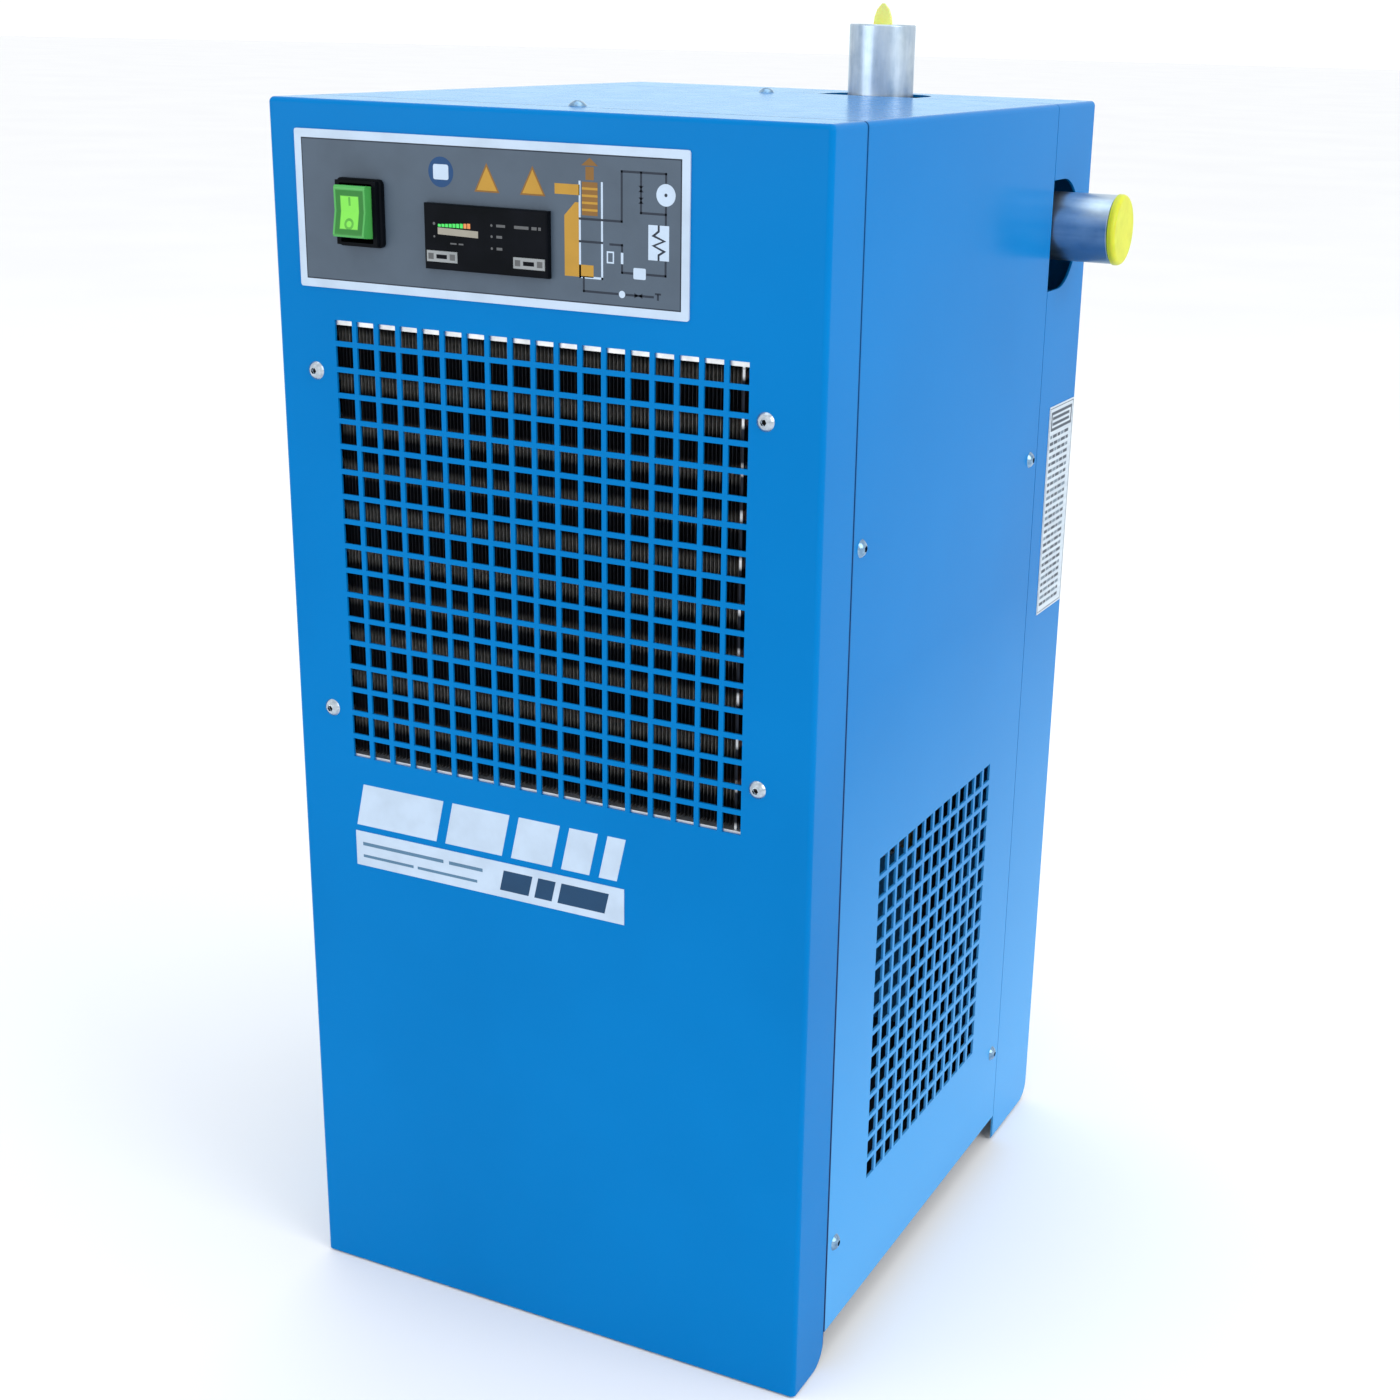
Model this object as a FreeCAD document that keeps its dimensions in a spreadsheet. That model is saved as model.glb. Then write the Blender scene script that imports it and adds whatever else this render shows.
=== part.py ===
"""Refrigerated compressed-air dryer, as an assembly of separate pieces.

Frame: X to the right, Y to the back, Z up, in millimetres. The origin is on the floor under the middle
of the cabinet, so the front face is at y = -depth/2 and the floor is z = 0.
"""
import FreeCAD, Part
import math
import os
import re
from types import SimpleNamespace

import Sketcher

os.makedirs("parts", exist_ok=True)
doc = FreeCAD.newDocument("AirDryer")

# ---------------------------------------------------------------- driving dimensions
DIMENSIONS = {
    # cabinet
    "width": 345, "depth": 420, "height": 740, "gauge": 1.5, "fold": 3,
    "front_return": 41.5, "back_return": 75.5, "front_seam": 1.2, "back_seam": 0.8, "hood_bottom": 21,
    "panel_bottom": 1, "back_edge": 20, "corner_round": 15, "strip_reach": 26, "strip_lap": 10,
    # base plate
    "base_top": 40, "base_gauge": 2, "base_half_x": 168, "base_half_y": 204, "base_flange": 14,
    "skid_half_x": 135, "skid_foot": 34, "anchor_x": 230, "anchor_y": 362, "anchor_hole": 4.5,
    # square-hole grilles
    "grille_pitch": 14.73, "grille_hole": 11.75,
    "front_grille_x": -2, "front_grille_z": 489.3, "front_grille_count": 18,
    "side_grille_y": -15.5, "side_grille_z": 207.5, "side_grille_columns": 13, "side_grille_rows": 15,
    # ports
    "port_y": 157.5, "inlet_z": 663.4, "outlet_x": 40, "port_outer": 21.65, "port_thread": 15.15,
    "port_mouth": 17.3, "mouth_deep": 9, "thread_long": 25, "port_reach": 36, "outlet_reach": 44.3,
    "notch": 35, "notch_y": 154, "notch_z": 658.5,
    "plug_stem": 17, "plug_flange": 22.3, "plug_gap": 0.3, "tab_wide": 13, "tab_tall": 13.1,
    # screws
    "screw_head": 5.25, "screw_shank": 2.4, "screw_hole": 2.6, "screw_long": 8,
    "front_screw_left": -147.5, "front_screw_right": 138.8, "front_screw_top": 590.5,
    "front_screw_low": 387, "side_screw_front": -156, "side_screw_back": 120.5,
    "side_screw_top": 516, "side_screw_low": 79, "top_screw_front": -5, "top_screw_back": -26,
    "back_screw_low": 100, "back_screw_top": 300,
    # control panel
    "plate_left": -154.3, "plate_right": 93.9, "plate_low": 638.2, "plate_top": 724, "plate_gauge": 1,
    "switch_x": -109.9, "switch_z": 681, "switch_wide": 30, "switch_tall": 36.7, "bezel_proud": 3.6,
    "collar_proud": 6, "rocker_wide": 20.6, "rocker_tall": 27.8, "rocker_proud": 13, "rocker_dip": 1.6,
    "pivot_deep": 2, "pivot_round": 1.5, "rocker_tilt": 5, "window_lap": 1.3,
    "controller_x": -27.8, "controller_z": 671.7, "controller_wide": 78, "controller_tall": 35,
    "controller_proud": 4, "controller_box_wide": 71, "controller_box_tall": 29, "button_wide": 19.6,
    "button_tall": 6, "button_x": 27.6, "button_z": -10.4, "button_proud": 0.5, "button_gap": 0.3,
    # labels
    "label_left": -134, "label_right": 55, "label_low": 287.5, "label_top": 310, "label_gauge": 0.4,
    "rating_front": 155.5, "rating_back": 206.5, "rating_low": 401, "rating_top": 545,
    # condenser
    "tube_pitch": 25.4, "tube_first": 21.3, "tube_outer": 4.76, "tube_wall": 0.5, "tube_count": 10,
    "tube_hole": 4.95, "fin_left": -137, "fin_right": 123, "fin_low": 360, "fin_top": 618,
    "fin_front": -204, "fin_back": -155, "row_front": -189.5, "row_back": -166.5,
    "frame_left": -155, "frame_right": 147,
    "frame_low": 346, "frame_top": 631, "leg_wide": 14, "header_x": -147, "header_round": 6.5,
    # fan
    "fan_x": -8, "fan_z": 488, "fan_round": 112, "fan_ring": 118, "hub_round": 28, "shaft_round": 4,
    "shaft_bore": 4.06, "fan_front": -144, "fan_back": -114, "motor_front": -108, "motor_back": -52,
    "motor_round": 40, "shroud_front": -149.5, "blade_count": 5,
    # compressor
    "comp_x": -25, "comp_y": -20, "shell_round": 75, "shell_wall": 3, "shell_low": 60,
    "shell_seam": 150, "shell_top": 222, "shell_dome": 26, "foot_x": 62, "foot_y": 72, "foot_z": 52,
    "foot_gauge": 3, "foot_rim_x": 15, "foot_rim_y": 13, "bolt_round": 4, "bolt_hole": 4.3,
    "grommet_neck": 8, "stator_round": 58, "stator_bore": 31, "stator_low": 84, "stator_top": 118,
    "winding_tall": 8, "rotor_round": 30, "crank_shaft": 8, "crank_bore": 8.06, "crank_throw": 8,
    "crank_pin": 6, "bearing_low": 132, "bearing_top": 154, "cylinder_z": 166, "cylinder_round": 13,
    "cover_half": 24, "cover_low": 96, "cover_top": 142,
    # exchanger
    "core_left": -105, "core_right": 95, "core_front": 127, "core_back": 188, "core_low": 350,
    "core_top": 690, "foam": 15, "foam_side": 12, "foam_gap": 0.4, "stand_left": -118,
    "stand_right": 108, "stand_front": 120, "stand_flange": 18, "stand_gauge": 1.5,
    # refrigerant lines
    "line_round": 4.76, "line_wall": 0.8, "discharge_y": -80, "discharge_z": 190, "liquid_round": 3.2,
    "suction_round": 6.35, "suction_x": -160, "suction_y": 90, "suction_z": 180, "core_port_y": 135,
    "core_suction_z": 480, "core_bypass_z": 420, "capillary_round": 1.3, "capillary_y": 140,
    "core_capillary_z": 380, "valve_y": 15, "filter_y": -125, "filter_low": 210, "filter_top": 288,
    "filter_round": 13, "sensor_z": 520, "sensor_round": 11,
    # drain line
    "drain_x": -85, "drain_z": 260, "drain_pipe": 8, "drain_back_x": 66, "drain_back_z": 200,
    "drain_bore": 4, "bulkhead_round": 8, "lever_x": 44, "lever_long": 42, "strainer_x": 76,
    "solenoid_x": 108,
    # wiring
    "ebox_left": -152, "ebox_right": 92, "ebox_back": -128, "ebox_low": 632, "ebox_top": 730,
    "gland_x": -60, "gland_z": 110, "gland_round": 8, "gland_bore": 4.5, "nut_round": 12,
    "capacitor_round": 17.5, "capacitor_left": 25, "capacitor_right": 78,
}

sheet = doc.addObject("Spreadsheet::Sheet", "Dims")
for row, (alias, number) in enumerate(DIMENSIONS.items(), start=1):
    sheet.set(f"A{row}", alias)
    sheet.set(f"B{row}", str(number))
    sheet.setAlias(f"B{row}", alias)
doc.recompute()
size = SimpleNamespace(**{alias: float(sheet.get(alias)) for alias in DIMENSIONS})

pieces = []

# the sign that an offset along a plane's own normal has on the axis that the plane faces
FACING = {"XY": 1, "XZ": -1, "YZ": 1}


def formula(text):
    """Turn a formula in dimension names into a document expression."""
    def bound(word):
        return "Dims." + word[0] if word[0] in DIMENSIONS else word[0]

    return re.sub(r"[a-z_]+", bound, str(text))


def rect(left, low, right, top):
    """The corners of a rectangle, in order."""
    return [(left, low), (right, low), (right, top), (left, top)]


def centred(x, y, wide, tall):
    """The corners of a rectangle about its middle."""
    return rect(f"{x} - ({wide})/2", f"{y} - ({tall})/2", f"{x} + ({wide})/2", f"{y} + ({tall})/2")


def circle(x, y, radius):
    """A circle, given by its centre and radius."""
    return (x, y, radius)


def edges_at(shape, axes, places):
    """Names of the straight edges that lie at the given places along the given axes."""
    names = []
    for number, edge in enumerate(shape.Edges, start=1):
        ends = [vertex.Point for vertex in edge.Vertexes]
        if len(ends) == 2 and all(
            abs(getattr(end, axis) - place) < 1e-4 for end in ends for axis, place in zip(axes, places)
        ):
            names.append(f"Edge{number}")
    return names


def level_edges(shape, axis, place):
    """Numbers and edges of a shape that lie flat at one level of an axis."""
    found = []
    for number, edge in enumerate(shape.Edges, start=1):
        low = getattr(edge.BoundBox, axis.upper() + "Min")
        high = getattr(edge.BoundBox, axis.upper() + "Max")
        if abs(low - place) < 1e-4 and abs(high - place) < 1e-4:
            found.append((number, edge))
    return found


def face_edges(shape, axis, place):
    """Names of all the edges round the face at one level of an axis."""
    return [f"Edge{number}" for number, _ in level_edges(shape, axis, place)]


def rim_edges(shape, axis, place, radius=None):
    """Names of the round edges that lie at one level of an axis, of one radius if it is given."""
    names = []
    for number, edge in level_edges(shape, axis, place):
        if isinstance(edge.Curve, Part.Circle) and (radius is None or abs(edge.Curve.Radius - radius) < 1e-4):
            names.append(f"Edge{number}")
    return names


def end_rims(shape, axis, low, high):
    """Names of the round edges at both ends of a turned shape."""
    return rim_edges(shape, axis, low) + rim_edges(shape, axis, high)


def corner_edges(shape, axes, firsts, seconds):
    """Names of the straight edges at every corner that two lists of places make."""
    names = []
    for first in firsts:
        for second in seconds:
            names += edges_at(shape, axes, (first, second))
    return names


def fold_edges(shape, half, plane_y, top):
    """Names of the edges where a panel folds back at both sides and at the top."""
    names = corner_edges(shape, "xz", (half, -half), (top,))
    if plane_y is not None:
        names += corner_edges(shape, "xy", (half, -half), (plane_y,))
        names += edges_at(shape, "yz", (plane_y, top))
    return names


class Piece:
    """One sub-part: a body built up from straight prisms and turned shapes."""

    def __init__(self, label):
        self.body = doc.addObject("PartDesign::Body", label)
        self.body.Label = label
        self.label = label
        self.made = 0
        pieces.append(self.body)

    def name(self, word):
        self.made += 1
        return f"{self.label}_{word}{self.made}"

    def sketch(self, plane, offset, outlines):
        """A sketch on one of the body's own planes, every corner bound to the sheet."""
        sketch = self.body.newObject("Sketcher::SketchObject", self.name("sketch"))
        role = plane + "_Plane"
        origin = [part for part in self.body.Origin.OriginFeatures if part.Role == role][0]
        sketch.AttachmentSupport = [(origin, "")]
        sketch.MapMode = "FlatFace"
        for axis, text in offset.items():
            sketch.setExpression("AttachmentOffset.Base." + axis, formula(text))
        for outline in outlines:
            if isinstance(outline, tuple):
                self.draw_circle(sketch, outline)
            else:
                self.draw_polygon(sketch, outline)
        return sketch

    def bind(self, sketch, kind, first, point, start, text):
        number = sketch.addConstraint(Sketcher.Constraint(kind, -1, 1, first, point, start))
        sketch.setExpression(f"Constraints[{number}]", formula(text))

    def draw_circle(self, sketch, outline):
        x, y, radius = outline
        ring = sketch.addGeometry(Part.Circle(FreeCAD.Vector(1, 1, 0), FreeCAD.Vector(0, 0, 1), 1), False)
        number = sketch.addConstraint(Sketcher.Constraint("Radius", ring, 1))
        sketch.setExpression(f"Constraints[{number}]", formula(radius))
        self.bind(sketch, "DistanceX", ring, 3, 1, x)
        self.bind(sketch, "DistanceY", ring, 3, 1, y)

    def draw_polygon(self, sketch, outline):
        count = len(outline)
        start = [
            FreeCAD.Vector(math.cos(2 * math.pi * turn / count), math.sin(2 * math.pi * turn / count), 0)
            for turn in range(count)
        ]
        lines = [
            sketch.addGeometry(Part.LineSegment(start[turn], start[(turn + 1) % count]), False)
            for turn in range(count)
        ]
        for turn in range(count):
            following = lines[(turn + 1) % count]
            sketch.addConstraint(Sketcher.Constraint("Coincident", lines[turn], 2, following, 1))
        for turn, (x, y) in enumerate(outline):
            self.bind(sketch, "DistanceX", lines[turn], 1, start[turn].x, x)
            self.bind(sketch, "DistanceY", lines[turn], 1, start[turn].y, y)

    def prism(self, plane, low, high, *outlines, cut=False):
        """Add or cut a straight prism between two levels of the axis that the plane faces."""
        sign = FACING[plane]
        sketch = self.sketch(plane, {"z": f"{sign}*({low})"}, outlines)
        kind = "PartDesign::Pocket" if cut else "PartDesign::Pad"
        feature = self.body.newObject(kind, self.name("prism"))
        feature.Profile = sketch
        feature.Reversed = (sign < 0) != cut
        feature.setExpression("Length", formula(f"({high}) - ({low})"))
        return feature

    def turn(self, axis, centre, profile, cut=False):
        """Add or cut a turned shape. The profile's corners are (along X, radius) on an X axis, and
        (radius, along) on a Y or Z axis. The centre is given in the order of the other two axes."""
        first, second = centre
        if axis == "X":
            sketch = self.sketch("XY", {"y": first, "z": second}, [profile])
        elif axis == "Y":
            sketch = self.sketch("XY", {"x": first, "z": second}, [profile])
        else:
            sketch = self.sketch("XZ", {"x": first, "z": f"-({second})"}, [profile])
        kind = "PartDesign::Groove" if cut else "PartDesign::Revolution"
        feature = self.body.newObject(kind, self.name("turn"))
        feature.Profile = sketch
        feature.ReferenceAxis = (sketch, ["H_Axis" if axis == "X" else "V_Axis"])
        feature.Angle = 360
        return feature

    def tube(self, axis, centre, outer, inner, low, high, cut=False):
        """A turned ring between two levels; with inner 0 it is a solid bar."""
        if axis == "X":
            return self.turn(axis, centre, rect(low, inner, high, outer), cut)
        return self.turn(axis, centre, rect(inner, low, outer, high), cut)

    def round_edges(self, radius, find, *wanted):
        """Round the edges of the shape so far that a finder names."""
        doc.recompute()
        base = self.body.Tip
        fillet = self.body.newObject("PartDesign::Fillet", self.name("fillet"))
        fillet.Base = (base, find(base.Shape, *wanted))
        fillet.setExpression("Radius", formula(radius))
        doc.recompute()

    def repeat(self, feature, first, second=None):
        """Repeat a feature along one or two of its sketch's axes: (axis, pitch, count)."""
        pattern = self.body.newObject("PartDesign::LinearPattern", self.name("pattern"))
        pattern.Originals = [feature]
        sketch = feature.Profile[0]
        pattern.Direction = (sketch, [first[0]])
        pattern.setExpression("Length", formula(f"({first[1]})*({first[2]} - 1)"))
        pattern.setExpression("Occurrences", formula(first[2]))
        if second:
            pattern.Direction2 = (sketch, [second[0]])
            pattern.setExpression("Length2", formula(f"({second[1]})*({second[2]} - 1)"))
            pattern.setExpression("Occurrences2", formula(second[2]))
        self.body.Tip = pattern
        return pattern


def shaped(label, shape):
    """A sub-part that is neither a body nor a primitive: a bent pipe, or a group of equal pieces."""
    feature = doc.addObject("Part::Feature", label)
    feature.Label = label
    feature.Shape = shape
    pieces.append(feature)
    return feature


def route(points, bend):
    """Straight runs between points, joined by tangent arcs."""
    points = [FreeCAD.Vector(*point) for point in points]
    edges = []
    start = points[0]
    for before, corner, after in zip(points, points[1:], points[2:]):
        to_before = (before - corner).normalize()
        to_after = (after - corner).normalize()
        half_turn = (math.pi - to_before.getAngle(to_after)) / 2
        reach = bend * math.tan(half_turn)
        enter = corner + to_before * reach
        leave = corner + to_after * reach
        bisector = (to_before + to_after).normalize()
        middle = corner + bisector * (bend / math.cos(half_turn) - bend)
        edges.append(Part.LineSegment(start, enter).toShape())
        edges.append(Part.Arc(enter, middle, leave).toShape())
        start = leave
    edges.append(Part.LineSegment(start, points[-1]).toShape())
    return Part.Wire(edges)


def swept(path, radius):
    """A round bar along a path."""
    first = path.Edges[0]
    start = first.valueAt(first.FirstParameter)
    ring = Part.Wire([Part.makeCircle(radius, start, first.tangentAt(first.FirstParameter))])
    return path.makePipeShell([ring], True, False)


def bent_pipe(points, bend, outer, wall):
    """A pipe along a route, hollow where it has a wall."""
    path = route(points, bend)
    bar = swept(path, outer)
    return bar.cut(swept(path, outer - wall)) if wall else bar


# ---------------------------------------------------------------- cabinet sheet metal
HALF = "width/2"
INNER = "width/2 - gauge"
FRONT = "-depth/2"
BACK = "depth/2"
HOOD_FRONT = "-depth/2 + front_return + front_seam"
HOOD_BACK = "depth/2 - back_return - back_seam"


def base_plate():
    """The floor sheet with its down-turned sides and the two skids it stands on."""
    piece = Piece("base_plate")
    side = "base_half_x"
    top_under = "base_top - base_gauge"
    piece.prism("XY", top_under, "base_top", rect(f"-{side}", "-base_half_y", side, "base_half_y"))
    for low, high in ((f"-{side}", f"-{side} + base_gauge"), (f"{side} - base_gauge", side)):
        flange = rect(low, "-base_half_y", high, "base_half_y")
        piece.prism("XY", f"{top_under} - base_flange", top_under, flange)
    web = "base_half_y - base_gauge"
    foot = "base_half_y - skid_foot"
    skid = "skid_half_x"
    piece.prism("XY", "0", top_under, rect(f"-{skid}", "-base_half_y", skid, f"-({web})"))
    piece.prism("XY", "0", top_under, rect(f"-{skid}", web, skid, "base_half_y"))
    piece.prism("XY", "0", "base_gauge", rect(f"-{skid}", f"-({web})", skid, f"-({foot})"))
    piece.prism("XY", "0", "base_gauge", rect(f"-{skid}", foot, skid, web))
    anchors = [
        circle(f"{x}*anchor_x/2", f"{y}*anchor_y/2", "anchor_hole") for x in (-1, 1) for y in (-1, 1)
    ]
    piece.prism("XY", "-1", "base_gauge + 1", *anchors, cut=True)
    bolts = [
        circle(f"comp_x + {x}*foot_x", f"comp_y + {y}*foot_y", "bolt_hole") for x in (-1, 1) for y in (-1, 1)
    ]
    piece.prism("XY", f"{top_under} - 1", "base_top + 1", *bolts, cut=True)


def cap_panel(label, face, rim, low):
    """A panel folded back at both sides and at the top: the block of its outside, then its hollow.
    The rear lower corner of each side return is rounded."""
    piece = Piece(label)
    outward = 1 if label == "back_panel" else -1
    round_in = 0 if outward > 0 else size.depth - size.front_return
    near, far = (face, rim) if outward < 0 else (rim, face)
    piece.prism("XZ", near, far, rect(f"-{HALF}", low, HALF, "height"))
    plane_y = outward * size.depth / 2
    half = size.width / 2
    piece.round_edges("corner_round", edges_at, "yz", (size.depth / 2 - round_in, size.panel_bottom))
    piece.round_edges("fold", fold_edges, half, plane_y, size.height)
    inner_face = f"({face}) - ({outward})*gauge"
    near, far = (inner_face, f"({rim}) + 1") if outward < 0 else (f"({rim}) - 1", inner_face)
    piece.prism("XZ", near, far, rect(f"-({INNER})", "-5", INNER, "height - gauge"), cut=True)
    inner_y = outward * (size.depth / 2 - size.gauge)
    piece.round_edges("fold - gauge", fold_edges, half - size.gauge, inner_y, size.height - size.gauge)
    return piece


def backing_strips(piece, start, end):
    """The strips behind a panel's rim that the hood lies on, at both sides and under the top."""
    inside = f"{INNER} - gauge"
    for left, right in ((f"-({INNER})", f"-({inside})"), (inside, INNER)):
        piece.prism("XY", "base_top + 4", "height - 6", rect(left, start, right, end))
    piece.prism("XY", "height - 2*gauge", "height - gauge", rect("10 - width/2", start, "width/2 - 10", end))


def switch_window():
    """The window that the switch's box goes through."""
    return centred("switch_x", "switch_z", "switch_wide - 2*window_lap", "switch_tall - 2*window_lap")


def controller_window():
    """The window that the controller's box goes through."""
    return centred("controller_x", "controller_z", "controller_box_wide + 0.4", "controller_box_tall + 0.4")


def front_panel():
    """The front, with its grille, the windows of the controls and the holes for its screws."""
    rim = "-depth/2 + front_return"
    piece = cap_panel("front_panel", FRONT, rim, "panel_bottom")
    backing_strips(piece, f"{rim} - strip_lap", f"{rim} + strip_reach")
    windows = [
        switch_window(),
        controller_window(),
    ]
    for x in ("front_screw_left", "front_screw_right"):
        for z in ("front_screw_top", "front_screw_low"):
            windows.append(circle(x, z, "screw_hole"))
    piece.prism("XZ", f"{FRONT} - 1", f"{FRONT} + gauge + 1", *windows, cut=True)
    hole_x = "front_grille_x - grille_pitch*(front_grille_count - 1)/2"
    hole_z = "front_grille_z - grille_pitch*(front_grille_count - 1)/2"
    opening = centred(hole_x, hole_z, "grille_hole", "grille_hole")
    hole = piece.prism("XZ", f"{FRONT} - 1", f"{FRONT} + gauge + 1", opening, cut=True)
    across = ("H_Axis", "grille_pitch", "front_grille_count")
    up = ("V_Axis", "grille_pitch", "front_grille_count")
    piece.repeat(hole, across, up)
    screw_holes_in_strips(piece, "side_screw_front", "top_screw_front")


def screw_holes_in_strips(piece, side_y, top_x):
    """The holes that the hood's screws bite in."""
    sides = [circle(side_y, z, "screw_hole") for z in ("side_screw_top", "side_screw_low")]
    inside = f"{INNER} - 3*gauge"
    piece.prism("YZ", inside, INNER, *sides, cut=True)
    piece.prism("YZ", f"-({INNER})", f"-({inside})", *sides, cut=True)
    piece.prism("XY", "height - 4*gauge", "height - gauge", circle(top_x, side_y, "screw_hole"), cut=True)


def stand_screw_holes():
    """The holes where the back panel is screwed to the exchanger's stand."""
    return [
        circle(x, z, "screw_hole")
        for x in ("stand_left + stand_flange/2", "stand_right - stand_flange/2")
        for z in ("back_screw_low", "back_screw_top")
    ]


def back_panel():
    """The back, cut away round the two ports, with the holes of the drain and the cable gland."""
    rim = "depth/2 - back_return"
    piece = cap_panel("back_panel", BACK, rim, "panel_bottom")
    backing_strips(piece, f"{rim} - strip_reach", f"{rim} + strip_lap")
    piece.prism(
        "XZ", f"{BACK} - 3*gauge", f"{BACK} + 1",
        rect(f"-({INNER} - 0.5)", "-5", f"{INNER} - 0.5", "back_edge"), cut=True,
    )
    side_slot = rect(HOOD_BACK, "notch_z - notch", "notch_y", "notch_z + notch")
    top_slot = rect("outlet_x - notch", HOOD_BACK, "outlet_x + notch", "notch_y")
    for outline in (circle("notch_y", "notch_z", "notch"), side_slot):
        piece.prism("YZ", f"{INNER} - 5", f"{HALF} + 1", outline, cut=True)
    for outline in (circle("outlet_x", "notch_y", "notch"), top_slot):
        piece.prism("XY", "height - 8", "height + 1", outline, cut=True)
    holes = [circle("gland_x", "gland_z", "gland_round + 0.4")]
    holes.append(circle("drain_back_x", "drain_back_z", "bulkhead_round + 0.4"))
    holes += stand_screw_holes()
    piece.prism("XZ", f"{BACK} - gauge - 1", f"{BACK} + 1", *holes, cut=True)
    screw_holes_in_strips(piece, "side_screw_back", "top_screw_back")


def side_and_top_hood():
    """Both sides and the top as one folded sheet, with the side grilles."""
    piece = Piece("side_and_top_hood")
    piece.prism("XZ", HOOD_FRONT, HOOD_BACK, rect(f"-{HALF}", "hood_bottom", HALF, "height"))
    half = size.width / 2
    piece.round_edges("fold", fold_edges, half, None, size.height)
    hollow = rect(f"-({INNER})", "-5", INNER, "height - gauge")
    piece.prism("XZ", f"{HOOD_FRONT} - 1", f"{HOOD_BACK} + 1", hollow, cut=True)
    piece.round_edges("fold - gauge", fold_edges, half - size.gauge, None, size.height - size.gauge)
    screws = [
        circle(y, z, "screw_hole")
        for y in ("side_screw_front", "side_screw_back")
        for z in ("side_screw_top", "side_screw_low")
    ]
    piece.prism("YZ", f"-{HALF} - 1", f"{HALF} + 1", *screws, cut=True)
    tops = [
        circle("top_screw_front", "side_screw_front", "screw_hole"),
        circle("top_screw_back", "side_screw_back", "screw_hole"),
    ]
    piece.prism("XY", "height - gauge - 1", "height + 1", *tops, cut=True)
    hole_y = "side_grille_y - grille_pitch*(side_grille_columns - 1)/2"
    hole_z = "side_grille_z - grille_pitch*(side_grille_rows - 1)/2"
    opening = centred(hole_y, hole_z, "grille_hole", "grille_hole")
    hole = piece.prism("YZ", f"-{HALF} - 1", f"{HALF} + 1", opening, cut=True)
    along = ("H_Axis", "grille_pitch", "side_grille_columns")
    up = ("V_Axis", "grille_pitch", "side_grille_rows")
    piece.repeat(hole, along, up)


# ---------------------------------------------------------------- fasteners
def screw_shape():
    """A domed socket screw standing on z = 0 with its shank below, with a six-sided recess."""
    head = size.screw_head
    tall = 3.0
    key = 1.9
    key_floor = 1.2
    dome = (head * head + tall * tall) / (2 * tall)
    ball = Part.makeSphere(dome, FreeCAD.Vector(0, 0, tall - dome))
    cap = ball.common(Part.makeCylinder(head, tall))
    shank = Part.makeCylinder(size.screw_shank, size.screw_long, FreeCAD.Vector(0, 0, -size.screw_long))
    corners = [
        FreeCAD.Vector(key * math.cos(math.pi * turn / 3), key * math.sin(math.pi * turn / 3), key_floor)
        for turn in range(7)
    ]
    recess = Part.Face(Part.makePolygon(corners)).extrude(FreeCAD.Vector(0, 0, tall))
    return cap.fuse(shank).cut(recess)


def screw_group(label, places):
    """Equal screws as one group: each place is a point on the sheet and the way out of it."""
    group = []
    for point, outward in places:
        screw = screw_shape()
        turned = FreeCAD.Rotation(FreeCAD.Vector(0, 0, 1), FreeCAD.Vector(*outward))
        screw.Placement = FreeCAD.Placement(FreeCAD.Vector(*point), turned)
        group.append(screw)
    shaped(label, Part.makeCompound(group))


def all_screws():
    """The screws of the front, the hood and the back."""
    front = -size.depth / 2
    back = size.depth / 2
    half = size.width / 2
    levels = (size.front_screw_top, size.front_screw_low)
    front_places = [
        ((x, front, z), (0, -1, 0)) for x in (size.front_screw_left, size.front_screw_right) for z in levels
    ]
    screw_group("front_panel_screws", front_places)
    hood_places = [
        ((side * half, y, z), (side, 0, 0))
        for side in (-1, 1)
        for y in (size.side_screw_front, size.side_screw_back)
        for z in (size.side_screw_top, size.side_screw_low)
    ]
    hood_places.append(((size.top_screw_front, size.side_screw_front, size.height), (0, 0, 1)))
    hood_places.append(((size.top_screw_back, size.side_screw_back, size.height), (0, 0, 1)))
    screw_group("hood_screws", hood_places)
    back_places = [
        ((x, back, z), (0, 1, 0))
        for x in (size.stand_left + size.stand_flange / 2, size.stand_right - size.stand_flange / 2)
        for z in (size.back_screw_low, size.back_screw_top)
    ]
    screw_group("back_panel_screws", back_places)


# ---------------------------------------------------------------- control panel
PLATE_FACE = "-depth/2 - plate_gauge"


def control_panel_plate():
    """The printed plate on the front, with the windows of the switch and the controller."""
    piece = Piece("control_panel_plate")
    outline = rect("plate_left", "plate_low", "plate_right", "plate_top")
    piece.prism("XZ", PLATE_FACE, FRONT, outline, switch_window(), controller_window())
    sides = (size.plate_left, size.plate_right)
    ends = (size.plate_low, size.plate_top)
    piece.round_edges("1.5", corner_edges, "xz", sides, ends)


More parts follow.
